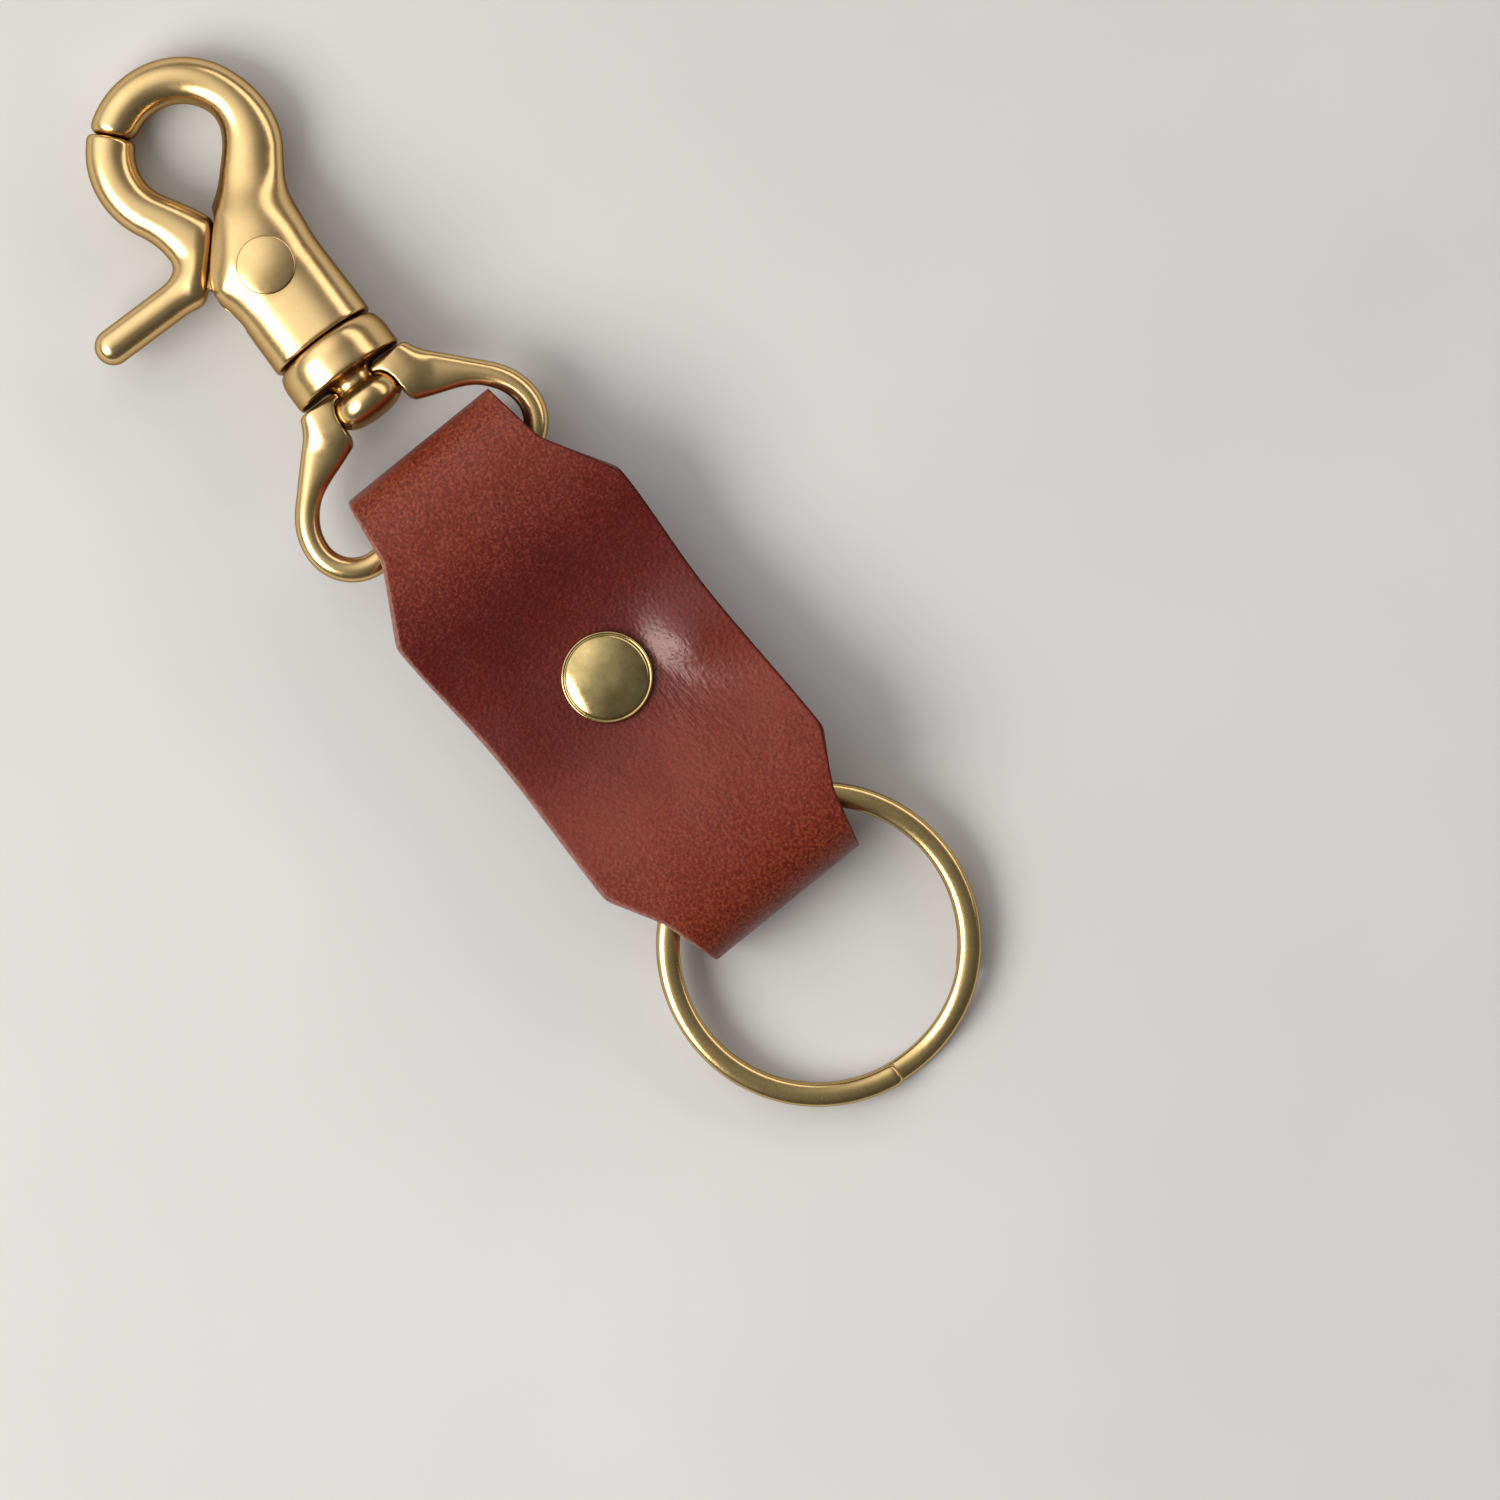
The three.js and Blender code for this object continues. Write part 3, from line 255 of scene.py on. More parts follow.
def skin(rings):
    """Quads over rings of the same number of points, and a cap on each end."""
    count, sides = rings.shape[:2]
    last = (count - 1) * sides
    faces = []
    for a in range(0, last, sides):
        b = a + sides
        for j in range(sides):
            k = (j + 1) % sides
            faces.append((a + j, a + k, b + k, b + j))
    faces.append(tuple(range(sides - 1, -1, -1)))
    faces.append(tuple(range(last, last + sides)))
    return rings.reshape(-1, 3), faces


def rounded(points):
    """Cuts the corners of an open line of points."""
    points = np.asarray(points, float)
    for _ in range(CORNER_PASSES):
        near = points[:-1] * (1 - CORNER_CUT) + points[1:] * CORNER_CUT
        far = points[:-1] * CORNER_CUT + points[1:] * (1 - CORNER_CUT)
        inner = np.stack([near, far], axis=1).reshape(-1, 2)
        points = np.concatenate([points[:1], inner[1:-1], points[-1:]])
    return points


def lathe(corners, segments=LATHE_SEGMENTS):
    """Turns a rounded line of (radius, height) corners about Z; both ends lie on the axis."""
    profile = rounded(corners)
    angles = np.linspace(0, 2 * math.pi, segments, endpoint=False)
    circle = np.stack([np.cos(angles), np.sin(angles)], axis=1)
    middle = profile[1:-1]
    rings = np.stack([np.column_stack([r * circle, np.full(segments, z)]) for r, z in middle])
    points, faces = skin(rings)
    faces = faces[:-2]
    bottom, top = len(points), len(points) + 1
    points = np.concatenate([points, [[0, 0, profile[0][1]], [0, 0, profile[-1][1]]]])
    last = (len(middle) - 1) * segments
    for j in range(segments):
        k = (j + 1) % segments
        faces.append((bottom, k, j))
        faces.append((top, last + j, last + k))
    return points, faces


# Fields: negative inside, in millimetres, meshed on a grid

TINY = 1e-9
POWER_FLOOR = 1e-12
FAR_INSIDE = -5
BAR_SQUARENESS = 2.2
PULL_PASSES = 2
MOST_PULL = 0.4


def blend_min(a, b, size):
    h = np.maximum(size - np.abs(a - b), 0)
    return np.minimum(a, b) - h * h / (4 * size)


def blend_max(a, b, size):
    return -blend_min(-a, -b, size)


def bevel(past_face, z, edge):
    """A slope of 45 degrees that meets a face at this height."""
    return (past_face + np.abs(z) - edge) / math.sqrt(2)


def grid(low, high, step):
    axes = [np.arange(a, b + step, step) for a, b in zip(low, high)]
    return np.meshgrid(*axes, indexing="ij")


def nearest_on(path, x, y):
    """Distance to a line of points and the length along it, for a flat grid."""
    best = np.full(x.shape, np.inf)
    along = np.zeros(x.shape)
    travelled = 0.0
    for a, b in zip(path[:-1], path[1:]):
        d = b - a
        length = math.hypot(*d)
        if length < TINY:
            continue
        t = np.clip(((x - a[0]) * d[0] + (y - a[1]) * d[1]) / length ** 2, 0, 1)
        distance = np.hypot(x - a[0] - t * d[0], y - a[1] - t * d[1])
        closer = distance < best
        best = np.where(closer, distance, best)
        along = np.where(closer, travelled + t * length, along)
        travelled += length
    return best, along


def bar_field(path, size, x, y, z):
    """A bar that lies flat along a path; size(along) gives half-width, half-height and squareness."""
    distance, along = nearest_on(np.asarray(path), x[:, :, :1], y[:, :, :1])
    half_width, half_height, power = size(along)
    u = distance / half_width
    w = np.abs(z) / half_height
    reach = (u ** power + w ** power + POWER_FLOOR) ** (1 / power)
    return (reach - 1) * np.minimum(half_width, half_height)


def even_bar(half_width, half_height, power=BAR_SQUARENESS):
    """The size of a bar that is the same all along."""
    return lambda along: tuple(np.full_like(along, number) for number in (half_width, half_height, power))


def sample(field, at):
    base = np.clip(np.floor(at).astype(int), 0, np.array(field.shape) - 2)
    t = at - base
    total = np.zeros(len(at))
    for dx in (0, 1):
        for dy in (0, 1):
            for dz in (0, 1):
                weight = np.abs(1 - dx - t[:, 0]) * np.abs(1 - dy - t[:, 1]) * np.abs(1 - dz - t[:, 2])
                total += weight * field[base[:, 0] + dx, base[:, 1] + dy, base[:, 2] + dz]
    return total


def mesh_of(field, low, step):
    """Points and quads where the field is zero, one point to a cell, each pulled onto the surface."""
    inside = field < 0
    cells = tuple(n - 1 for n in field.shape)
    total = np.zeros(cells + (3,))
    count = np.zeros(cells)
    edges = []
    for axis in range(3):
        first = tuple(slice(0, -1) if a == axis else slice(None) for a in range(3))
        second = tuple(slice(1, None) if a == axis else slice(None) for a in range(3))
        crossed = inside[first] != inside[second]
        gap = field[first] - field[second]
        share = np.where(crossed, field[first] / np.where(crossed, gap, 1), 0)
        u, v = (axis + 1) % 3, (axis + 2) % 3
        for du in (0, 1):
            for dv in (0, 1):
                pick = [slice(None)] * 3
                pick[u] = slice(du, du + cells[u])
                pick[v] = slice(dv, dv + cells[v])
                hit = crossed[tuple(pick)]
                count += hit
                total[..., axis] += share[tuple(pick)] * hit
                total[..., u] += du * hit
                total[..., v] += dv * hit
        edges.append((u, v, np.argwhere(crossed), inside[first][crossed]))
    used = count > 0
    index = np.full(cells, -1)
    index[used] = np.arange(used.sum())
    at = np.argwhere(used) + total[used] / count[used][:, None]
    slopes = np.gradient(field)
    for _ in range(PULL_PASSES):
        slope = np.stack([sample(s, at) for s in slopes], axis=1)
        squared = np.maximum((slope ** 2).sum(axis=1), TINY)
        move = (sample(field, at) / squared)[:, None] * slope
        at = at - np.clip(move, -MOST_PULL, MOST_PULL)
    quads = []
    for u, v, starts, ahead in edges:
        beside = starts[:, [u, v]]
        fits = ((beside > 0) & (beside < (cells[u], cells[v]))).all(axis=1)
        starts, ahead = starts[fits], ahead[fits]
        corners = []
        for du, dv in ((-1, -1), (0, -1), (0, 0), (-1, 0)):
            cell = starts.copy()
            cell[:, u] += du
            cell[:, v] += dv
            corners.append(index[cell[:, 0], cell[:, 1], cell[:, 2]])
        quad = np.stack(corners, axis=1)
        quads.append(np.where(ahead[:, None], quad, quad[:, ::-1]))
    return at * step + np.asarray(low), np.concatenate(quads).tolist()


# Node helpers

def new_material(name):
    material = bpy.data.materials.new(name)
    material.use_nodes = True
    tree = material.node_tree
    return material, tree, tree.nodes["Principled BSDF"]


def node(tree, kind, **settings):
    made = tree.nodes.new(kind)
    for key, value in settings.items():
        setattr(made, key, value)
    return made


def noise(tree, coordinates, size_mm, detail=3, roughness=0.5):
    made = node(tree, "ShaderNodeTexNoise")
    made.inputs["Scale"].default_value = 1 / (size_mm * MM)
    made.inputs["Detail"].default_value = detail
    made.inputs["Roughness"].default_value = roughness
    tree.links.new(coordinates, made.inputs["Vector"])
    return made.outputs["Fac"]


def ramp(tree, value, stops):
    made = node(tree, "ShaderNodeValToRGB")
    elements = made.color_ramp.elements
    while len(elements) < len(stops):
        elements.new(0.5)
    for element, (at, colour) in zip(elements, stops):
        element.position = at
        element.color = (*colour, 1)
    tree.links.new(value, made.inputs["Fac"])
    return made.outputs["Color"]


def tones(tree, value, span, colours):
    """Goes from the first colour to the second as the value crosses a span."""
    return ramp(tree, value, tuple(zip(span, colours)))


def spread(tree, value, span, result):
    """Carries a value's span over to another pair of numbers."""
    made = node(tree, "ShaderNodeMapRange")
    for key, number in zip(("From Min", "From Max", "To Min", "To Max"), (*span, *result)):
        made.inputs[key].default_value = number
    tree.links.new(value, made.inputs["Value"])
    return made.outputs["Result"]


def arithmetic(tree, operation, *values):
    made = node(tree, "ShaderNodeMath", operation=operation)
    for value, socket in zip(values, made.inputs):
        tree.links.new(value, socket)
    return made.outputs["Value"]


def mix(tree, factor, a, b):
    made = node(tree, "ShaderNodeMix", data_type="RGBA")
    colours = [socket for socket in made.inputs if socket.type == "RGBA"]
    tree.links.new(factor, made.inputs["Factor"])
    tree.links.new(a, colours[0])
    tree.links.new(b, colours[1])
    return [out for out in made.outputs if out.type == "RGBA"][0]


def bump(tree, shader, height, strength, depth_mm, before=None):
    made = node(tree, "ShaderNodeBump")
    made.inputs["Strength"].default_value = strength
    made.inputs["Distance"].default_value = depth_mm * MM
    tree.links.new(height, made.inputs["Height"])
    if before:
        tree.links.new(before, made.inputs["Normal"])
    tree.links.new(made.outputs["Normal"], shader.inputs["Normal"])
    return made.outputs["Normal"]


def plain(tree, colour):
    made = node(tree, "ShaderNodeRGB")
    made.outputs["Color"].default_value = (*colour, 1)
    return made.outputs["Color"]


def place_coordinates(tree):
    return node(tree, "ShaderNodeTexCoord").outputs["Object"]


def attribute(tree, name):
    return node(tree, "ShaderNodeAttribute", attribute_name=name).outputs["Fac"]


# Brass and spring steel: colours in pairs, from dark to light

UNIT = (0, 1)
NOISE_SPAN = (0.3, 0.7)
SNAP_BRASS = ((0.74, 0.5, 0.21), (0.82, 0.58, 0.27))
# The rivet's pair is wide and mottles in small blotches: partly the brass's own colour and partly painted
# reflections
RIVET_BRASS_AND_REFLECTIONS = ((0.42, 0.31, 0.12), (0.72, 0.56, 0.25))
RING_BRASS = ((0.62, 0.44, 0.18), (0.72, 0.53, 0.23))
# Painted shade: upright sides of the brass are darkened towards this brown, standing in for dark
# surroundings seen in their reflection
PAINTED_SIDE_SHADE = (0.3, 0.165, 0.06)
PAINTED_SIDE_SHADE_SHARE = 0.75
UPRIGHT_SPAN = (0.1, 0.6)
LACQUER = 0.2
LACQUER_ROUGHNESS = 0.15
# Painted shade: a dark brown tint on glancing reflections, so edges and side faces reflect darker than
# their pale surroundings
GLANCING_SHADE_TINT = (0.5, 0.38, 0.24, 1)
GRAIN_STRENGTH = 0.3
SPRING_STEEL = ((0.36, 0.37, 0.38), (0.52, 0.53, 0.54))
SPRING_ROUGHNESS = (0.28, 0.42)


def brass(name, colours, rough, grain_mm, dents, cloud_mm=6):
    """Lacquered brass with painted shade on its upright sides, darkened towards brown, in the object's own
    frame.
    """
    material, tree, shader = new_material(name)
    at = place_coordinates(tree)
    cloud = noise(tree, at, cloud_mm, detail=4, roughness=0.55)
    facing = node(tree, "ShaderNodeSeparateXYZ")
    tree.links.new(node(tree, "ShaderNodeTexCoord").outputs["Normal"], facing.inputs["Vector"])
    level = arithmetic(tree, "ABSOLUTE", facing.outputs["Z"])
    # Painted shade: the more upright the surface, the more it is darkened towards brown
    painted_side_shade = spread(tree, level, UPRIGHT_SPAN, (PAINTED_SIDE_SHADE_SHARE, 0))
    colour = mix(tree, painted_side_shade, tones(tree, cloud, NOISE_SPAN, colours), plain(tree, PAINTED_SIDE_SHADE))
    tree.links.new(colour, shader.inputs["Base Color"])
    fine = noise(tree, at, grain_mm, detail=4, roughness=0.6)
    tree.links.new(spread(tree, fine, NOISE_SPAN, rough), shader.inputs["Roughness"])
    shader.inputs["Metallic"].default_value = 1
    shader.inputs["Coat Weight"].default_value = LACQUER
    shader.inputs["Coat Roughness"].default_value = LACQUER_ROUGHNESS
    shader.inputs["Specular Tint"].default_value = GLANCING_SHADE_TINT
    dented = bump(tree, shader, noise(tree, at, size_mm=2.4, detail=2), dents, depth_mm=0.04)
    bump(tree, shader, fine, dents * GRAIN_STRENGTH, depth_mm=0.005, before=dented)
    return material


def spring_wire():
    material, tree, shader = new_material("spring_wire")
    streak = noise(tree, place_coordinates(tree), size_mm=0.5)
    tree.links.new(tones(tree, streak, NOISE_SPAN, SPRING_STEEL), shader.inputs["Base Color"])
    tree.links.new(spread(tree, streak, NOISE_SPAN, SPRING_ROUGHNESS), shader.inputs["Roughness"])
    shader.inputs["Metallic"].default_value = 1
    return material


# Leather: each attribute of the strap's mesh says how much of one look a point has

# Partly painted light and shade: the hide is deep where the strap slopes away from the lamps and fair where
# it faces them, besides the leather's own lighter tone towards the tabs
DEEP_HIDE_AND_SHADE = ((0.084, 0.0066, 0.0038), (0.106, 0.0088, 0.005))
FAIR_HIDE_AND_LIGHT = ((0.135, 0.0155, 0.008), (0.17, 0.022, 0.011))
HIDE_SPAN = (0.28, 0.72)
SPECKLE = (0.29, 0.06, 0.035)
SPECKLE_SPAN = (0.5, 0.64)
SPECKLE_SHARE = (0.16, 0.52)
PORE = (0.055, 0.005, 0.003)
PORE_SPAN = (0.34, 0.46)
PORE_SHARE = 0.35
PULLED_HIDE = ((0.1, 0.011, 0.005), (0.27, 0.05, 0.02))
PULLED_SPAN = (0.4, 0.62)
FIBRE = ((0.1, 0.035, 0.02), (0.21, 0.085, 0.05))
WORN_EDGE = ((0.15, 0.045, 0.03), (0.36, 0.165, 0.12))
WORN_SPAN = (0.3, 0.72)
HIDE_ROUGHNESS = (0.34, 0.44)
POLISH_SMOOTHING = (0, 0.11)
HIDE_SPECULAR = (0.36, 0.8)
HIDE_TINT = (1, 0.84, 0.76, 1)
PEBBLE_SIZE = 0.42
WRINKLE_SQUEEZE = (0.16, 1, 1)


def hide_colour(tree, at):
    cloud = noise(tree, at, size_mm=9, detail=4, roughness=0.55)
    deep_and_shade = tones(tree, cloud, HIDE_SPAN, DEEP_HIDE_AND_SHADE)
    fair_and_light = tones(tree, cloud, HIDE_SPAN, FAIR_HIDE_AND_LIGHT)
    # The tone attribute mixes deep hide with painted shade into fair hide with painted light
    colour = mix(tree, attribute(tree, "tone"), deep_and_shade, fair_and_light)
    speckle = noise(tree, at, size_mm=0.34, detail=2, roughness=0.6)
    speckled = spread(tree, speckle, SPECKLE_SPAN, UNIT)
    shown = spread(tree, attribute(tree, "grain"), UNIT, SPECKLE_SHARE)
    colour = mix(tree, arithmetic(tree, "MULTIPLY", speckled, shown), colour, plain(tree, SPECKLE))
    pores = spread(tree, speckle, PORE_SPAN, (PORE_SHARE, 0))
    colour = mix(tree, pores, colour, plain(tree, PORE))
    colour = mix(tree, attribute(tree, "bend"), colour, tones(tree, speckle, PULLED_SPAN, PULLED_HIDE))
    fibre = noise(tree, at, size_mm=0.3, detail=4, roughness=0.7)
    colour = mix(tree, attribute(tree, "flesh"), colour, tones(tree, fibre, NOISE_SPAN, FIBRE))
    worn = noise(tree, at, size_mm=0.7, detail=4, roughness=0.65)
    return mix(tree, attribute(tree, "edge"), colour, tones(tree, worn, WORN_SPAN, WORN_EDGE))


def hide_relief(tree, shader, at):
    """Pebbles, fine grain and slow unevenness, with wrinkles along X where the leather is creased."""
    cells = node(tree, "ShaderNodeTexVoronoi", feature="SMOOTH_F1")
    cells.inputs["Scale"].default_value = 1 / (PEBBLE_SIZE * MM)
    tree.links.new(at, cells.inputs["Vector"])
    pebbles = bump(tree, shader, cells.outputs["Distance"], strength=0.9, depth_mm=0.06)
    grain = noise(tree, at, size_mm=0.18, detail=3, roughness=0.7)
    grained = bump(tree, shader, grain, strength=0.8, depth_mm=0.03, before=pebbles)
    uneven = bump(tree, shader, noise(tree, at, size_mm=5), strength=0.2, depth_mm=0.25, before=grained)
    along = node(tree, "ShaderNodeMapping")
    along.inputs["Scale"].default_value = WRINKLE_SQUEEZE
    tree.links.new(at, along.inputs["Vector"])
    wrinkle = noise(tree, along.outputs["Vector"], size_mm=0.55, detail=2)
    folds = arithmetic(tree, "MULTIPLY", wrinkle, attribute(tree, "crease"))
    bump(tree, shader, folds, strength=1, depth_mm=0.2, before=uneven)


def leather():
    material, tree, shader = new_material("waxed_leather")
    at = place_coordinates(tree)
    tree.links.new(hide_colour(tree, at), shader.inputs["Base Color"])
    polish = attribute(tree, "polish")
    rough = spread(tree, noise(tree, at, size_mm=2.5, detail=4), NOISE_SPAN, HIDE_ROUGHNESS)
    polished = arithmetic(tree, "SUBTRACT", rough, spread(tree, polish, UNIT, POLISH_SMOOTHING))
    tree.links.new(polished, shader.inputs["Roughness"])
    tree.links.new(spread(tree, polish, UNIT, HIDE_SPECULAR), shader.inputs["Specular IOR Level"])
    shader.inputs["Specular Tint"].default_value = HIDE_TINT
    hide_relief(tree, shader, at)
    return material


LEATHER_LOOK = leather()
SNAP_LOOK = brass("satin_brass", SNAP_BRASS, rough=(0.2, 0.27), grain_mm=0.5, dents=0.1)
# Painted reflections: small dark and light blotches on the rivet's brass
RIVET_LOOK = brass("polished_brass", RIVET_BRASS_AND_REFLECTIONS, rough=(0.12, 0.2), grain_mm=0.4, dents=0.16, cloud_mm=2.6)
RING_LOOK = brass("worn_brass", RING_BRASS, rough=(0.2, 0.28), grain_mm=0.3, dents=0.1)
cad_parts["trigger_spring"].data.materials.clear()
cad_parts["trigger_spring"].data.materials.append(spring_wire())


# Leather strap

# Shorter than in the part's source, since the line is smoothed here
PRESSED_HALF_LENGTH = 2.5

LINE_SETTLE = 27
LINE_SETTLE_REACH = 16
LINE_SETTLE_FADE = 5
WIDTH_SETTLE = 5
ON_FRONT = 0.99
WAIST = -0.38
FLARE = 0.45
STRAIGHT_POINTS = 60
CURVE_POINTS = 120
SIDE_POINTS = 70
EDGE_POINTS = 9
STRAP_STEP = 0.45
EDGE_ROUND = 0.5
EDGE_FULLNESS = 0.8
END_THICKNESS = 0.25

# How the front rises: a cup round the rivet's cap, a mound on one side of it, and slow waves
FRONT_FADE = 0.75
FACE_HEIGHT = 0.9
CAP_TOUCH = 0.27
CAP_TOUCH_REACH = 13
CAP_TOUCH_FADE = 8
CUP_HEIGHT = 0.6
CUP_LENGTH = 15
CUP_START = 4.7
CUP_WIDTH = 6.5
CUP_OVAL = 0.9
MOUND_HEIGHT = 1.6
MOUND_START = 4.8
MOUND_WIDTH = 2.8
MOUND_FADE = 0.25
MOUND_FADE_START = 2.5
MOUND_FADE_WIDTH = 8
MOUND_X = -1
MOUND_LENGTH = 2.6
MOUND_SPREAD = 0.35
MOUND_LEAN = 0.35
WAVE_HEIGHT = 0.06
WAVE_START = 4
LONG_WAVE = (0.42, 0.3, 0.8)
CROSS_WAVE = (-0.23, 0.37, 0.5)

# Where the leather's looks change; a patch is its centre and its reach
EDGE_LOOK_REACH = 1.6
BACK_HEIGHT = -0.7
BEND_START = 0.06
BEND_SPAN = 0.12
BEND_MOST = 0.75
RING_FAIR_START = 1
RING_FAIR_FADE = 15
HOOK_FAIR_START = 14
HOOK_FAIR_FADE = 11
# Painted sheen: on the -Y side below the rivet the fair tone reaches further towards the hook
PAINTED_SHEEN_SIDE = 4
PAINTED_SHEEN_SIDE_START = 5
PAINTED_SHEEN_SIDE_FADE = 4
SPECKLE_START = 11
SPECKLE_FADE = 11
CREASE_PATCH = ((-9, -5), (7, 4.5))
POLISH_PATCH = ((-1.5, -7), (4.5, 3))


def front_half_width(x):
    side = x > 0
    shoulder = np.where(side, HOOK_SHOULDER, RING_SHOULDER)
    tab = np.where(side, HOOK_TAB, RING_TAB)
    fold = np.where(side, HOOK_FOLD, RING_FOLD)
    tab_half = np.where(side, HOOK_TAB_HALF_WIDTH, RING_TAB_HALF_WIDTH)
    narrowing = np.clip((np.abs(x) - shoulder) / (tab - shoulder), 0, 1)
    taper = np.clip((np.abs(x) - tab) / (fold - tab), 0, 1)
    panel = PANEL_HALF_WIDTH + WAIST * (1 - smooth(np.abs(x) / shoulder)) + FLARE * smooth(x / shoulder)
    return lerp(lerp(panel, tab_half, narrowing), FOLD_HALF_WIDTH, taper)


def tail_half_width(x, end, fold):
    from_end = np.abs(x - end)
    width = lerp(TAIL_HALF_WIDTH, FOLD_HALF_WIDTH, from_end / abs(fold - end))
    into_corner = np.maximum(TAIL_CORNER - from_end, 0)
    return width - TAIL_CORNER + np.sqrt(np.maximum(TAIL_CORNER ** 2 - into_corner ** 2, 0))


def straight(a, b):
    a, b = np.array(a), np.array(b)
    return bezier(a, lerp(a, b, 1 / 3), lerp(a, b, 2 / 3), b, STRAIGHT_POINTS)


def level_run(a, b):
    middle = (a[0] + b[0]) / 2
    return bezier(a, (middle, a[1]), (middle, b[1]), b, CURVE_POINTS)


def quarter_fold(level, upright, starts_level):
    near_level = (lerp(level[0], upright[0], FOLD_FULLNESS), level[1])
    near_upright = (upright[0], lerp(upright[1], level[1], FOLD_FULLNESS))
    run = bezier(level, near_level, near_upright, upright, CURVE_POINTS)
    return run if starts_level else run[::-1]


def strap_line():
    """Middle line of the leather in (x, z), its half-widths and which points are on the front."""
    ring_upright = (LEATHER / 2 - RING_FOLD, RING_LOOP_HEIGHT / 2)
    hook_upright = (HOOK_FOLD - LEATHER / 2, HOOK_LOOP_HEIGHT / 2)
    ring_crest = (-RING_CREST, RING_LOOP_HEIGHT - LEATHER / 2)
    hook_crest = (HOOK_CREST, HOOK_LOOP_HEIGHT - LEATHER / 2)
    ring_bottom = (-RING_CREST, TABLE_LAYER)
    hook_bottom = (HOOK_CREST, TABLE_LAYER)
    ring_landing = (-TAIL_FALL_START - TAIL_FALL, TABLE_LAYER)
    hook_landing = (TAIL_FALL_START + TAIL_FALL, TABLE_LAYER)
    ring_flat = ((TAIL_REACH, RING_TAIL_LAYER), (-TAIL_FALL_START, RING_TAIL_LAYER))
    hook_flat = ((TAIL_FALL_START, HOOK_TAIL_LAYER), (-TAIL_REACH, HOOK_TAIL_LAYER))
    front_flat = ((-PRESSED_HALF_LENGTH, FRONT_LAYER), (PRESSED_HALF_LENGTH, FRONT_LAYER))
    runs = [
        (straight(*ring_flat), "ring"),
        (level_run(ring_flat[1], ring_landing), "ring"),
        (straight(ring_landing, ring_bottom), "ring"),
        (quarter_fold(ring_bottom, ring_upright, True), "ring"),
        (quarter_fold(ring_crest, ring_upright, False), "front"),
        (level_run(ring_crest, front_flat[0]), "front"),
        (straight(*front_flat), "front"),
        (level_run(front_flat[1], hook_crest), "front"),
        (quarter_fold(hook_crest, hook_upright, True), "front"),
        (quarter_fold(hook_bottom, hook_upright, False), "hook"),
        (straight(hook_bottom, hook_landing), "hook"),
        (level_run(hook_landing, hook_flat[0]), "hook"),
        (straight(*hook_flat), "hook"),
    ]
    line, half, front = [], [], []
    for i, (run, side) in enumerate(runs):
        run = run if i == len(runs) - 1 else run[:-1]
        line.append(run)
        if side == "front":
            half.append(front_half_width(run[:, 0]))
        elif side == "ring":
            half.append(tail_half_width(run[:, 0], TAIL_REACH, -RING_FOLD))
        else:
            half.append(tail_half_width(run[:, 0], -TAIL_REACH, HOOK_FOLD))
        front.append(np.full(len(run), float(side == "front")))
    return np.concatenate(line), np.concatenate(half), np.concatenate(front)


def settled(values, count):
    kernel = np.hanning(count)
    return np.convolve(values, kernel / kernel.sum(), "same")


def even_strap_line():
    """Length along the strap at even steps, with x, z, half-width and share on the front at each."""
    line, half, front = strap_line()
    lengths = np.concatenate([[0], np.cumsum(np.hypot(*np.diff(line, axis=0).T))])
    at = np.linspace(0, lengths[-1], int(lengths[-1] / STRAP_STEP))
    x, z, half, front = (np.interp(at, lengths, row) for row in (*line.T, half, front))
    near_rivet = 1 - smooth((np.abs(x) - LINE_SETTLE_REACH) / LINE_SETTLE_FADE)
    z = lerp(z, settled(z, LINE_SETTLE), (front > ON_FRONT) * near_rivet)
    ends = WIDTH_SETTLE // 2
    half[ends:-ends] = settled(half, WIDTH_SETTLE)[ends:-ends]
    return at, x, z, half, front


def strap_section():
    """One section, in columns: share of the half-width, reach into the edge, height share, edge share."""
    rows = [(share, 0, 1, 0) for share in np.linspace(-1, 1, SIDE_POINTS)]
    for i in range(1, EDGE_POINTS):
        angle = math.pi / 2 - math.pi * i / EDGE_POINTS
        rows.append((1, math.cos(angle), math.sin(angle), 1))
    rows += [(share, 0, -1, 0) for share in np.linspace(1, -1, SIDE_POINTS)]
    for i in range(1, EDGE_POINTS):
        angle = -math.pi / 2 - math.pi * i / EDGE_POINTS
        rows.append((-1, -math.cos(angle), math.sin(angle), 1))
    return np.array(rows[::-1]).T


def wave(px, py, along, across, start):
    return np.sin(along * px + across * py + start)


def front_rise(px, py):
    out_of_cap = np.maximum(np.hypot(py, CUP_OVAL * px) - CUP_START, 0)
    rise = CUP_HEIGHT * np.exp(-(px / CUP_LENGTH) ** 2) * (1 - np.exp(-(out_of_cap / CUP_WIDTH) ** 2))
    beside_cap = np.maximum(-py - MOUND_START, 0)
    fade = MOUND_FADE * smooth((beside_cap - MOUND_FADE_START) / MOUND_FADE_WIDTH)
    mound = (1 - np.exp(-(beside_cap / MOUND_WIDTH) ** 2)) * (1 - fade)
    off_middle = (px - MOUND_X + MOUND_LEAN * beside_cap) / (MOUND_LENGTH + MOUND_SPREAD * beside_cap)
    rise += MOUND_HEIGHT * np.exp(-off_middle ** 2) * mound
    waves = WAVE_HEIGHT * wave(px, py, *LONG_WAVE) * wave(px, py, *CROSS_WAVE)
    return rise + waves * (1 - np.exp(-(out_of_cap / WAVE_START) ** 2))


def patch(px, py, centre, reach):
    return np.exp(-((px - centre[0]) / reach[0]) ** 2 - ((py - centre[1]) / reach[1]) ** 2)


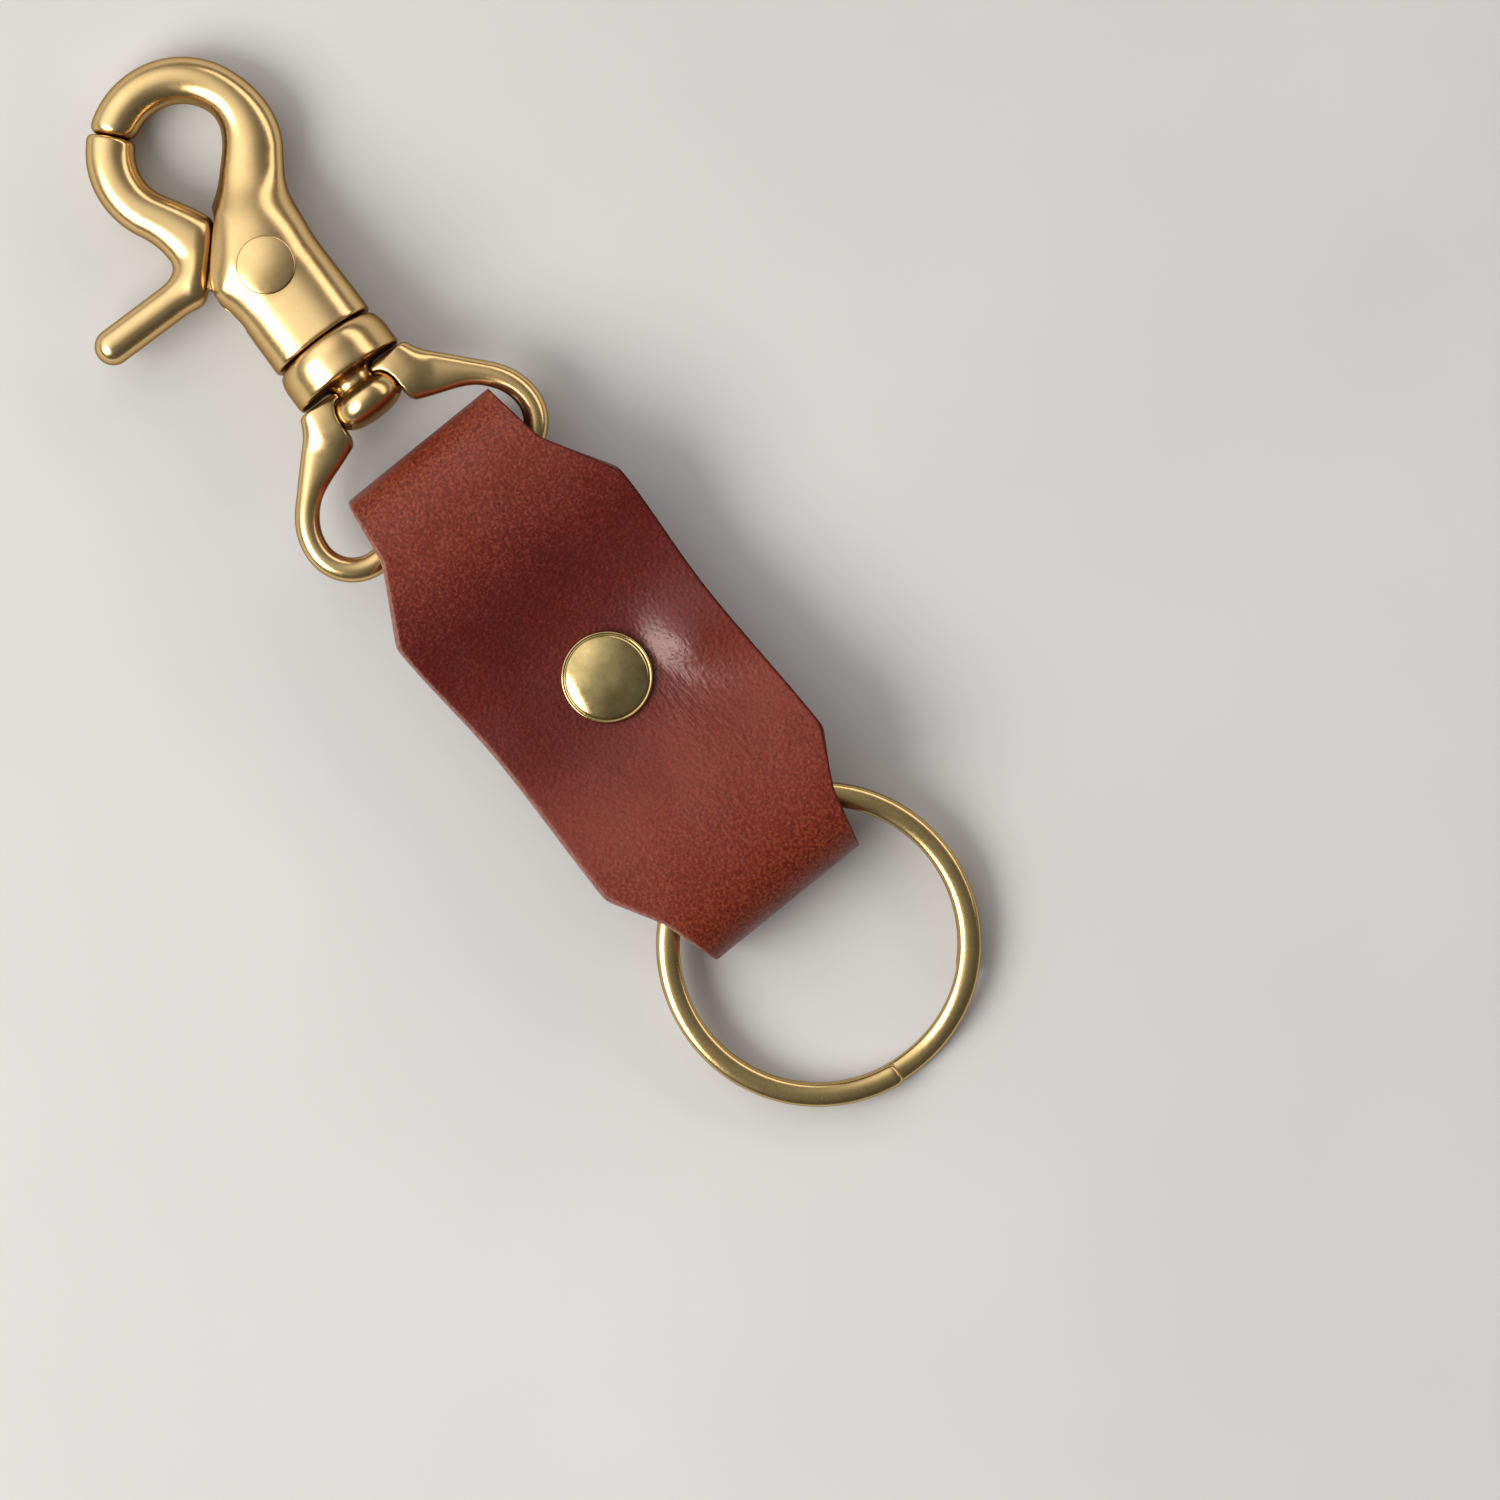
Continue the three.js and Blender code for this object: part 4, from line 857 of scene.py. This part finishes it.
def strap_looks(px, py, high, edge, front, turn):
    """The attributes that the leather's material reads, for every point of the mesh."""
    # Painted sheen: the fair tone of the ring side is carried further towards the hook on the -Y side
    painted_sheen_side = PAINTED_SHEEN_SIDE * smooth((-py - PAINTED_SHEEN_SIDE_START) / PAINTED_SHEEN_SIDE_FADE)
    ring_fair_and_light = smooth((RING_FAIR_START + painted_sheen_side - px) / RING_FAIR_FADE)
    hook_fair_and_light = smooth((px - HOOK_FAIR_START) / HOOK_FAIR_FADE)
    looks = {
        "edge": edge * np.clip(EDGE_LOOK_REACH - np.abs(high), 0, 1),
        # tone: partly the hide's own lighter colour towards the tabs, partly painted light where the strap
        # faces the lamps and painted shade where it turns away
        "tone": np.maximum(ring_fair_and_light, hook_fair_and_light),
        "grain": smooth((np.abs(px) - SPECKLE_START) / SPECKLE_FADE),
        "crease": front[:, None] * patch(px, py, *CREASE_PATCH),
        "polish": front[:, None] * patch(px, py, *POLISH_PATCH),
        "flesh": (high < BACK_HEIGHT).astype(float),
        "bend": np.clip((turn[:, None] - BEND_START) / BEND_SPAN, 0, 1) * BEND_MOST,
    }
    return {key: np.broadcast_to(numbers, px.shape).ravel() for key, numbers in looks.items()}


def leather_strap():
    at, x, z, half, front = even_strap_line()
    along = np.stack([np.gradient(x, at), np.gradient(z, at)], axis=1)
    along /= np.linalg.norm(along, axis=1)[:, None]
    turn = np.abs(np.gradient(np.unwrap(np.arctan2(along[:, 1], along[:, 0])), at))
    into_end = np.clip(np.minimum(at, at[-1] - at) / EDGE_ROUND, 0, 1)
    end_round = np.sqrt(1 - (1 - into_end) ** 2) * (1 - END_THICKNESS) + END_THICKNESS
    share, round_out, high, edge = strap_section()
    bulge = np.sign(high) * np.abs(high) ** EDGE_FULLNESS
    height = bulge[None, :] * (LEATHER / 2 * end_round)[:, None]
    px = x[:, None] - along[:, 1:] * height
    py = share[None, :] * (half - EDGE_ROUND)[:, None] + round_out[None, :] * EDGE_ROUND
    pz = z[:, None] + along[:, :1] * height
    near_cap = 1 - smooth((np.abs(px) - CAP_TOUCH_REACH) / CAP_TOUCH_FADE)
    rise = front_rise(px, py) + (high[None, :] > FACE_HEIGHT) * CAP_TOUCH * near_cap
    pz += smooth((front - FRONT_FADE) / (1 - FRONT_FADE))[:, None] * rise
    points, faces = skin(np.stack([px, py, pz], axis=2))
    looks = strap_looks(px, py, high, edge, front, turn)
    add_mesh("folded_strap", points, faces, LEATHER_LOOK, "fob", "hide", "leather_strap", values=looks)


# Rivet: corners are an inset from the radius or a share of it, and a height

CAP_STEM = 5
CAP_UNDERSIDE = ((0.5, -0.03), (0.08, 0.05))
CAP_LIP = ((1, 0.45), (0.985, 0.74), (0.95, 0.82), (0.92, 0.7))
CAP_DOME_SHARES = (0.89, 0.8, 0.65, 0.45, 0.25)
CAP_DOME_FOOT = 0.72
CAP_DOME_POWER = 2.6
BASE_RIM = ((0.5, 0), (0.1, 0.1), (0, 0.4))
BASE_CROWN = 0.2
BASE_CROWN_INSET = 0.3
POST_RADIUS = 1.2


def rivet():
    r = RIVET_CAP_RADIUS
    top = CAP_SEAT + RIVET_CAP_HEIGHT
    stem_end = CAP_SEAT - CAP_STEM
    cap = [(0, stem_end), (RIVET_STEM_RADIUS, stem_end), (RIVET_STEM_RADIUS, CAP_SEAT)]
    cap += [(r - inset, CAP_SEAT + height) for inset, height in CAP_UNDERSIDE]
    cap += [(r * share, CAP_SEAT + height) for share, height in CAP_LIP]
    cap += [(r * s, lerp(top, CAP_SEAT + CAP_DOME_FOOT, s ** CAP_DOME_POWER)) for s in CAP_DOME_SHARES]
    cap.append((0, top))
    add_mesh("rivet_dome", *lathe(cap), RIVET_LOOK, "fob", "rivet_brass", "rivet_cap")
    r = RIVET_BASE_RADIUS
    crown = RIVET_BASE + BASE_CROWN
    post_end = CAP_SEAT - SEAT_GAP
    base = [(0, 0), *((r - inset, height) for inset, height in BASE_RIM), (r, RIVET_BASE)]
    base += [(r - BASE_CROWN_INSET, crown), (POST_RADIUS, crown), (POST_RADIUS, post_end), (0, post_end)]
    add_mesh("rivet_base", *lathe(base), RIVET_LOOK, "fob", "rivet_brass", "rivet_post")


# Key ring: angles in degrees

RING_SIDES = 24
RING_STEPS = 520
RING_TURN_SHOW = 0.12
RING_SQUARENESS = (2.2, 2.1)
RING_END_ROUND = 3
RING_END_SIZE = 0.8
ONE_TURN = 360


def key_ring():
    start = KEY_RING_STEP / 2 + KEY_RING_END_GAP
    end = 2 * ONE_TURN - start
    angle = np.linspace(start, end, RING_STEPS)
    share = np.clip((angle - ONE_TURN) / KEY_RING_STEP + 0.5, 0, 1)
    way = np.radians(angle + KEY_RING_STEP_AT)
    out = np.stack([np.cos(way), np.sin(way), np.zeros_like(way)], axis=1)
    centre = out * KEY_RING_RADIUS
    centre[:, 2] = ease(-TURN_RISE / 2, TURN_RISE / 2, share)
    side = (np.arange(RING_SIDES) + 0.5) / RING_SIDES * 2 * math.pi
    c, s = np.cos(side), np.sin(side)
    half_height = (TURN_RISE - RING_TURN_SHOW) / 2
    across = KEY_RING_WIRE_WIDTH / 2 * np.sign(c) * np.abs(c) ** (2 / RING_SQUARENESS[0])
    up = half_height * np.sign(s) * np.abs(s) ** (2 / RING_SQUARENESS[1])
    into_end = np.clip(np.minimum(angle - start, end - angle) / RING_END_ROUND, 0, 1)
    size = lerp(RING_END_SIZE, 1, np.sqrt(1 - (1 - into_end) ** 2))
    rings = centre[:, None, :] - out[:, None, :] * across[None, :, None] * size[:, None, None]
    rings[:, :, 2] += up[None, :] * size[:, None]
    points, faces = skin(rings)
    add_mesh("split_ring", place(points, RING_FRAME), faces, RING_LOOK, "ring", "ring_brass", "key_ring")


# Swivel eye

EYE_STEP = 0.15
EYE_MARGIN = 2.2
EYE_LOW = (-EYE_MARGIN, -EYE_HALF_WIDTH - EYE_MARGIN, -EYE_MARGIN)
EYE_HIGH = (BRIDGE_X + 3.6, EYE_HALF_WIDTH + EYE_MARGIN, EYE_MARGIN)
EYE_CORNER_POINTS = 16
EYE_ARM_POINTS = 24
BRIDGE_POINTS = 10
BRIDGE_LEAVE = (0.3, -1.2)
EYE_SQUARENESS = 2
LUG_SQUARENESS = 2.6
LUG_SHOW = -0.2
LUG_ROUND = 0.4
LUG_WIDE = 0.2
LUG_BACK = 0.5
ARM_SWELL = 9
LUG_EAR = ((14.4, 4.9), (16.9, 4.75))
LUG_EAR_HALF_WIDTH = 1.8
LUG_EAR_FILLET = 1.6
STUD_SHOW = 0.08
HEAD_ROOM_ROUND = 2.4
ROOM_EDGE_ROUND = 0.25


def eye_path():
    corner_centre = (EYE_CORNER, EYE_HALF_WIDTH - EYE_CORNER)
    corner = arc(corner_centre, EYE_CORNER, math.pi, math.pi / 2, EYE_CORNER_POINTS)
    top = corner[-1]
    root = np.array([EYE_ROOT_X - LUG_BACK, EYE_ROOT_Y])
    arm = bezier(top, top + (EYE_ARM_LEAVE, 0), root + EYE_ARM_ARRIVE, root, EYE_ARM_POINTS)[1:]
    middle = BRIDGE_X - LUG_BACK
    bridge = bezier(root, root + BRIDGE_LEAVE, (middle, EYE_ROOT_Y / 2), (middle, 0), BRIDGE_POINTS)[1:]
    return np.concatenate([[[0, 0]], corner, arm, bridge])


def swivel_eye():
    path = eye_path()
    total = length_of(path)

    def size(along):
        share = np.clip(1 - (total - along - EYE_LUG) / ARM_SWELL, 0, 1)
        half_width = ease(EYE_WIRE / 2, BRIDGE_LENGTH / 2 + LUG_WIDE, share)
        half_height = ease(EYE_WIRE / 2, BRIDGE_THICKNESS / 2, share)
        return half_width, half_height, ease(EYE_SQUARENESS, LUG_SQUARENESS, share)

    x, y, z = grid(EYE_LOW, EYE_HIGH, EYE_STEP)
    field = bar_field(path, size, x, np.abs(y), z)
    ear = even_bar(LUG_EAR_HALF_WIDTH, BRIDGE_THICKNESS / 2, LUG_SQUARENESS)
    field = blend_min(field, bar_field(LUG_EAR, ear, x, np.abs(y), z), LUG_EAR_FILLET)
    field = blend_max(field, x - BRIDGE_X - BRIDGE_LENGTH / 2 - LUG_SHOW, LUG_ROUND)
    past_seat = (x - SWIVEL_X) * math.cos(PITCH) - z * math.sin(PITCH)
    rho = np.hypot(y, (x - SWIVEL_X) * math.sin(PITCH) + z * math.cos(PITCH))
    head = blend_max(rho - STUD_HEAD_RADIUS - STUD_SHOW, past_seat - SWIVEL_GAP, HEAD_ROOM_ROUND)
    neck = rho - STUD_NECK_RADIUS - STUD_SHOW
    short_of_lugs = EYE_ROOT_X / 2 - x
    for room in (head, neck):
        field = blend_max(field, -np.maximum(room, short_of_lugs), ROOM_EDGE_ROUND)
    points, faces = mesh_of(field, EYE_LOW, EYE_STEP)
    add_mesh("cast_eye", place(points, EYE_FRAME), faces, SNAP_LOOK, "eye", "snap_brass", "swivel_eye")


# Swivel stud: the head's corners are shares of its radius and length, the collar's are insets

STUD_HEAD = (
    (0, 0), (0.3, -0.02), (0.62, 0.03), (0.9, 0.17), (1, 0.42), (0.98, 0.7), (0.84, 0.96), (0.66, 1))
COLLAR_SHOW = 0.35
COLLAR_DISH = 0.1
COLLAR_FACE = ((0.6, 0), (0.1, 0.08), (0, 0.5))
COLLAR_BELLY_SHARES = (0.25, 0.5, 0.75, 0.92)
COLLAR_BELLY_POWER = 2.4
COLLAR_BELLY_INSET = 0.3
COLLAR_EDGE = 5.6
COLLAR_EDGE_INSET = 0.25
COLLAR_END_INSET = 0.1
SHANK_ROOT_INSET = 0.08


def swivel_stud():
    neck = STUD_NECK_RADIUS
    face = COLLAR_END - COLLAR_SHOW
    shank_end = COLLAR_START + SHANK_LENGTH
    profile = [(a * STUD_HEAD_RADIUS, HEAD_END + b * STUD_HEAD_LENGTH) for a, b in STUD_HEAD]
    profile += [(neck, HEAD_START), (neck, face + COLLAR_DISH)]
    profile += [(COLLAR_RADIUS - inset, face + back) for inset, back in COLLAR_FACE]
    profile.append((COLLAR_RADIUS, COLLAR_TOUCH))
    for share in COLLAR_BELLY_SHARES:
        radius = lerp(COLLAR_EDGE, COLLAR_RADIUS, math.sqrt(1 - share ** COLLAR_BELLY_POWER))
        profile.append((radius, lerp(COLLAR_TOUCH, COLLAR_START - COLLAR_BELLY_INSET, share)))
    profile.append((COLLAR_EDGE, COLLAR_START - COLLAR_EDGE_INSET))
    profile.append((COLLAR_END_RADIUS, COLLAR_START - COLLAR_END_INSET))
    profile += [(neck, COLLAR_START - SHANK_ROOT_INSET), (neck, shank_end), (0, shank_end)]
    points, faces = lathe(profile)
    points = place(points[:, [2, 1, 0]] * (1, 1, -1), PIVOT_FRAME)
    add_mesh("turned_stud", points, faces, SNAP_LOOK, "hook", "snap_brass", "swivel_stud")


# Snap body

HOOK_STEP = 0.16
HOOK_LOW = (-BARREL_LENGTH - 0.8, -11.4, -6)
HOOK_HIGH = (HOOK_TOUCH + 3.4, 11.4, 6)
HOOK_CENTRE = np.array([HOOK_REACH, 0.0])
HOOK_POINTS = 48
SLOT_RADIUS = TONGUE_RADIUS + 2 * RUNNING_GAP
SLOT_HALF_HEIGHT = TONGUE_HALF_HEIGHT + RUNNING_GAP
BARREL_BACK = 3
BARREL_TURN = 1.6
BARREL_ROUND = 0.5
BARREL_SHOW = 0.3
BARREL_SQUARENESS = 2.4
EAR = ((0.6, 4.6), (0.9, 4.65))
EAR_HALF_WIDTH = 1.7
EAR_HALF_HEIGHT = 3.2
EAR_FILLET = 0.6
ARM_FILLET = 3
ARM_ROOT_SQUARENESS = 2.5
ARM_SQUARENESS = 2.1
FLANK_SHOW = -0.25
FLANK_ROUND = 0.6
FLANK_FLAT = 4.5
FLANK_BEND = 0.25
FLANK_EDGE = 2.9
NECK_HALF_HEIGHT = 1
NECK_HALF_WIDTH = 2.8
ROOT_SHOW = 0.6
SWEEP_END_X = 3.5
NOSE_ROUND = 1.4
NOSE_SIDE_X = HOOK_REACH * 0.55
PAST_SEAM = 0.3


def slot_field(x, y):
    low, high = ROOT_ANGLE, ROOT_ANGLE + TRIGGER_OPENING
    low_wall = toward(x, y, low - math.pi / 2) - SLOT_RADIUS
    high_wall = toward(x, y, high + math.pi / 2) - SLOT_RADIUS
    mouth = np.maximum(np.maximum(low_wall, high_wall), -toward(x, y, (low + high) / 2))
    return np.minimum(np.hypot(x, y) - SLOT_RADIUS, mouth)


def hook_body():
    arm_end = polar(HOOK_RADIUS, ARM_ANGLE) + HOOK_CENTRE
    straight_length = ARM_LENGTH - ARM_ROOT_ROUND
    root = arm_end - polar(1, ARM_ANGLE + math.pi / 2) * straight_length
    hook = arc(HOOK_CENTRE, HOOK_RADIUS, ARM_ANGLE, NOSE_ANGLE + PAST_SEAM, HOOK_POINTS)

    def barrel_size(along):
        share = (along - BARREL_BACK) / BARREL_LENGTH
        half_width = ease(BARREL_HALF_WIDTH, CHEEK_HALF_WIDTH, share)
        half_height = lerp(BARREL_HALF_HEIGHT, CHEEK_HALF_HEIGHT, np.clip(share, 0, 1))
        return half_width, half_height, np.full_like(share, BARREL_SQUARENESS)

    def arm_size(along):
        into_arm = np.clip((along + ARM_ROOT_ROUND) / ARM_LENGTH, 0, 1)
        into_hook = (along - straight_length) / HOOK_RADIUS
        width = lerp(ARM_ROOT_HALF_WIDTH, ARM_HALF_WIDTH, into_arm)
        width = width + ease(0, HOOK_HALF_WIDTH - ARM_HALF_WIDTH, into_hook)
        height = ease(ARM_ROOT_HALF_HEIGHT, HOOK_HALF_HEIGHT, into_arm)
        return width, height, lerp(ARM_ROOT_SQUARENESS, ARM_SQUARENESS, into_arm)

    x, y, z = grid(HOOK_LOW, HOOK_HIGH, HOOK_STEP)
    barrel = [(-BARREL_LENGTH - BARREL_BACK, 0), (BARREL_TURN, 0)]
    field = bar_field(barrel, barrel_size, x, y, z)
    ear_field = bar_field(EAR, even_bar(EAR_HALF_WIDTH, EAR_HALF_HEIGHT), x, y, z)
    field = blend_min(field, ear_field, EAR_FILLET)
    field = blend_min(field, bar_field(np.concatenate([[root], hook]), arm_size, x, y, z), ARM_FILLET)
    field = blend_max(field, -BARREL_LENGTH - BARREL_SHOW - x, BARREL_ROUND)
    past_nose = toward(x - HOOK_REACH, y, NOSE_ANGLE + math.pi / 2)
    beside_nose = toward(x - HOOK_REACH, y, NOSE_ANGLE)
    at_nose = (beside_nose > 0) & (x > NOSE_SIDE_X)
    field = blend_max(field, np.where(at_nose, past_nose, FAR_INSIDE), NOSE_ROUND)
    beside_flat = np.maximum(np.abs(toward(x, y, FLANK_ANGLE + math.pi / 2)) - FLANK_FLAT, 0)
    flank = FLANK_DISTANCE + FLANK_SHOW + FLANK_BEND * beside_flat ** 2
    past_flank = toward(x, y, FLANK_ANGLE) - flank
    field = blend_max(field, np.maximum(past_flank, bevel(past_flank, z, FLANK_EDGE)), FLANK_ROUND)
    turn = np.clip(np.arctan2(y, x), ROOT_ANGLE, ROOT_ANGLE + TRIGGER_OPENING)
    swept = x * np.cos(turn) + y * np.sin(turn) - ROOT_DISTANCE + ROOT_SHOW + RUNNING_GAP / 2
    field = np.maximum(field, np.where((x < SWEEP_END_X) & (y > 0), swept, FAR_INSIDE))
    in_slot = np.where(np.hypot(x, y) < SLOT_RADIUS, SLOT_HALF_HEIGHT, NECK_HALF_HEIGHT + RUNNING_GAP)
    slot = np.maximum(slot_field(x, y), np.abs(z) - in_slot)
    field = np.maximum(field, -slot)
    points, faces = mesh_of(field, HOOK_LOW, HOOK_STEP)
    add_mesh("cast_hook", place(points, PIVOT_FRAME), faces, SNAP_LOOK, "hook", "snap_brass", "hook_body")


# Trigger

TRIGGER_LOW = (-5.6, -5.6, -3.6)
TRIGGER_HIGH = (HOOK_TOUCH + 3.4, LEVER_TIP + 1, 3.6)
GATE_NECK_POINTS = 20
GATE_POINTS = 36
GATE_ROUND = 0.65
GATE_PROUD = 0.12
SEAM_SHOW = 0.05
LEVER_FILLET = 1.9
ROOT_OVERLAP = 1
ROOT_ROUND = 0.8
ROOT_EDGE = 1.9
POCKET_RADIUS = SPRING_RADIUS + SPRING_WIRE / 2 + SEAT_GAP
POCKET_TOP = TONGUE_HALF_HEIGHT - TONGUE_WEB
SPRING_GATE_LEG = 4.6
SPRING_ROOM_STEPS = 8


def trigger():
    start = polar(HOOK_RADIUS, GATE_START_ANGLE) + HOOK_CENTRE
    along_gate = polar(1, GATE_START_ANGLE + math.pi / 2)
    root = np.array(GATE_ROOT)
    neck = bezier(root, root + GATE_LEAVE, start + along_gate * GATE_ARRIVE, start, GATE_NECK_POINTS)
    tip = NOSE_ANGLE + SEAM_SHOW / HOOK_RADIUS
    curl = arc(HOOK_CENTRE, HOOK_RADIUS, GATE_START_ANGLE, tip - PAST_SEAM, GATE_POINTS)
    neck_length = length_of(neck)

    def gate_size(along):
        width = ease(GATE_ROOT_HALF_WIDTH, HOOK_HALF_WIDTH, along / neck_length)
        width = width + GATE_PROUD * smooth((along - neck_length) / HOOK_RADIUS)
        return width, np.full_like(along, HOOK_HALF_HEIGHT), np.full_like(along, BAR_SQUARENESS)

    x, y, z = grid(TRIGGER_LOW, TRIGGER_HIGH, HOOK_STEP)
    field = bar_field(np.concatenate([neck, curl[1:]]), gate_size, x, y, z)
    lever = [(LEVER_X, ROOT_DISTANCE - ROOT_OVERLAP), (LEVER_X, LEVER_TIP - LEVER_HALF_WIDTH)]
    lever_field = bar_field(lever, even_bar(LEVER_HALF_WIDTH, LEVER_HALF_HEIGHT), x, y, z)
    field = blend_min(field, lever_field, LEVER_FILLET)
    past_tip = -toward(x - HOOK_REACH, y, tip + math.pi / 2)
    beside_tip = toward(x - HOOK_REACH, y, tip)
    field = blend_max(field, np.where(beside_tip > 0, past_tip, FAR_INSIDE), GATE_ROUND)
    out = toward(x, y, ROOT_ANGLE)
    root_face = ROOT_DISTANCE - ROOT_SHOW - out
    field = blend_max(field, np.maximum(root_face, bevel(root_face, z, ROOT_EDGE)), ROOT_ROUND)
    side = np.abs(toward(x, y, ROOT_ANGLE - math.pi / 2)) - NECK_HALF_WIDTH
    stem = np.maximum(np.maximum(side, -out), out - ROOT_DISTANCE - ROOT_OVERLAP)
    disc = np.maximum(np.hypot(x, y) - TONGUE_RADIUS, np.abs(z) - TONGUE_HALF_HEIGHT)
    field = np.minimum(field, np.minimum(disc, np.maximum(stem, np.abs(z) - NECK_HALF_HEIGHT)))
    room = np.hypot(x, y) - POCKET_RADIUS
    for angle in np.linspace(ROOT_ANGLE - TRIGGER_OPENING, ROOT_ANGLE, SPRING_ROOM_STEPS):
        beside_leg = np.abs(toward(x, y, angle - math.pi / 2) - SPRING_RADIUS) - SPRING_WIRE / 2 - SEAT_GAP
        room = np.minimum(room, np.maximum(beside_leg, toward(x, y, angle) - SPRING_GATE_LEG - SEAT_GAP))
    pocket = np.maximum(room, z - POCKET_TOP)
    field = np.maximum(field, -pocket)
    field = np.maximum(field, PIN_RADIUS + RUNNING_GAP - np.hypot(x, y))
    points, faces = mesh_of(field, TRIGGER_LOW, HOOK_STEP)
    points = place(points, PIVOT_FRAME)
    add_mesh("cast_trigger", points, faces, SNAP_LOOK, "trigger", "snap_brass", "trigger")


# Pivot pin

PIN_SEGMENTS = 96
PIN_SUNK = 0.3
PIN_RIM = 1
PIN_RIM_ROUND = 0.15
PIN_RIM_INSET = 0.05
PIN_SHOW = 0.3
PIN_DOME_SHARES = (0.95, 0.75, 0.5, 0.25)
PIN_DOME_FOOT = 0.04
PIN_TAIL_INSET = 0.5
PIN_TAIL_EDGE = 0.1


def pivot_pin():
    r = PIN_HEAD_RADIUS
    seat = HEAD_SEAT - PIN_SUNK
    rim = HEAD_SEAT + PIN_RIM
    top = HEAD_SEAT + SEAT_GAP + PIN_HEAD_HEIGHT + PIN_SHOW
    bottom = -seat - PIN_TAIL_HEIGHT
    profile = [(0, bottom), (r - PIN_TAIL_INSET, bottom)]
    profile += [(r, -seat - PIN_TAIL_EDGE), (r - PIN_TAIL_EDGE, -seat)]
    profile += [(PIN_RADIUS, -seat), (PIN_RADIUS, seat)]
    profile += [(r, seat), (r, rim - PIN_RIM_ROUND), (r - PIN_RIM_INSET, rim)]
    profile += [(r * s, lerp(top, rim + PIN_DOME_FOOT, s ** 2)) for s in PIN_DOME_SHARES]
    profile.append((0, top))
    points, faces = lathe(profile, PIN_SEGMENTS)
    add_mesh("domed_pin", place(points, PIVOT_FRAME), faces, SNAP_LOOK, "hook", "snap_brass", "pivot_pin")


leather_strap()
rivet()
key_ring()
swivel_eye()
swivel_stud()
hook_body()
trigger()
pivot_pin()


# Floor, light and camera, in metres

FLOOR_SIZE = 3
FLOOR_TONES = ((0.6, 0.595, 0.585), (0.64, 0.635, 0.625))
FLOOR_ROUGHNESS = 0.85
CENTRE = Vector((-0.0157, -0.007, 0.0045))
VIEW_WIDTH = 0.1613
LENS = 300
SENSOR = 36
IMAGE_TURN = math.radians(231)
IMAGE_LEFT = Vector((0.629, 0.777, 0))
IMAGE_UP = Vector((0.777, -0.629, 0))
KEY_PLACE = IMAGE_LEFT * 0.45 - IMAGE_UP * 0.22 + Vector((0, 0, 0.45))
RIM_PLACE = Vector((0.1, -0.6, 0.34))
SKY_BRIGHT = Vector((0.67, 0.24, 0.7))
SKY_GREYS = ((0, 0.05), (0.3, 0.075), (0.6, 0.11), (0.75, 0.225), (0.9, 0.575), (1, 0.8))
SKY_STRENGTH = 2


def floor():
    mesh = bpy.data.meshes.new("floor")
    s = FLOOR_SIZE / 2
    mesh.from_pydata([(-s, -s, 0), (s, -s, 0), (s, s, 0), (-s, s, 0)], [], [(0, 1, 2, 3)])
    obj = bpy.data.objects.new("floor", mesh)
    bpy.context.collection.objects.link(obj)
    material, tree, shader = new_material("pale_floor")
    cloud = noise(tree, place_coordinates(tree), size_mm=60)
    tree.links.new(tones(tree, cloud, NOISE_SPAN, FLOOR_TONES), shader.inputs["Base Color"])
    shader.inputs["Roughness"].default_value = FLOOR_ROUGHNESS
    mesh.materials.append(material)


def area_light(name, place_at, size, power, colour):
    data = bpy.data.lights.new(name, "AREA")
    data.shape = "ELLIPSE"
    data.size, data.size_y = size
    data.energy = power
    data.color = colour
    obj = bpy.data.objects.new(name, data)
    obj.location = CENTRE + place_at
    obj.rotation_euler = (-place_at).to_track_quat("-Z", "Y").to_euler()
    bpy.context.collection.objects.link(obj)


def sky():
    """A soft dome that is brightest towards one side."""
    world = bpy.data.worlds.new("studio")
    world.use_nodes = True
    tree = world.node_tree
    background = tree.nodes["Background"]
    toward_bright = node(tree, "ShaderNodeVectorMath", operation="DOT_PRODUCT")
    toward_bright.inputs[1].default_value = SKY_BRIGHT.normalized()
    tree.links.new(node(tree, "ShaderNodeTexCoord").outputs["Generated"], toward_bright.inputs[0])
    tone = ramp(tree, toward_bright.outputs["Value"], [(at, (grey,) * 3) for at, grey in SKY_GREYS])
    tree.links.new(tone, background.inputs["Color"])
    background.inputs["Strength"].default_value = SKY_STRENGTH
    bpy.context.scene.world = world


def camera():
    data = bpy.data.cameras.new("camera")
    data.lens = LENS
    data.sensor_width = SENSOR
    obj = bpy.data.objects.new("camera", data)
    obj.location = CENTRE + Vector((0, 0, VIEW_WIDTH * LENS / SENSOR))
    obj.rotation_euler = (0, 0, IMAGE_TURN)
    bpy.context.collection.objects.link(obj)
    bpy.context.scene.camera = obj


floor()
area_light("key", KEY_PLACE, size=(0.6, 0.45), power=4.2, colour=(1, 0.98, 0.95))
area_light("rim", RIM_PLACE, size=(1.2, 0.24), power=1.4, colour=(1, 0.9, 0.86))
sky()
camera()
bpy.context.scene.view_settings.view_transform = "Standard"
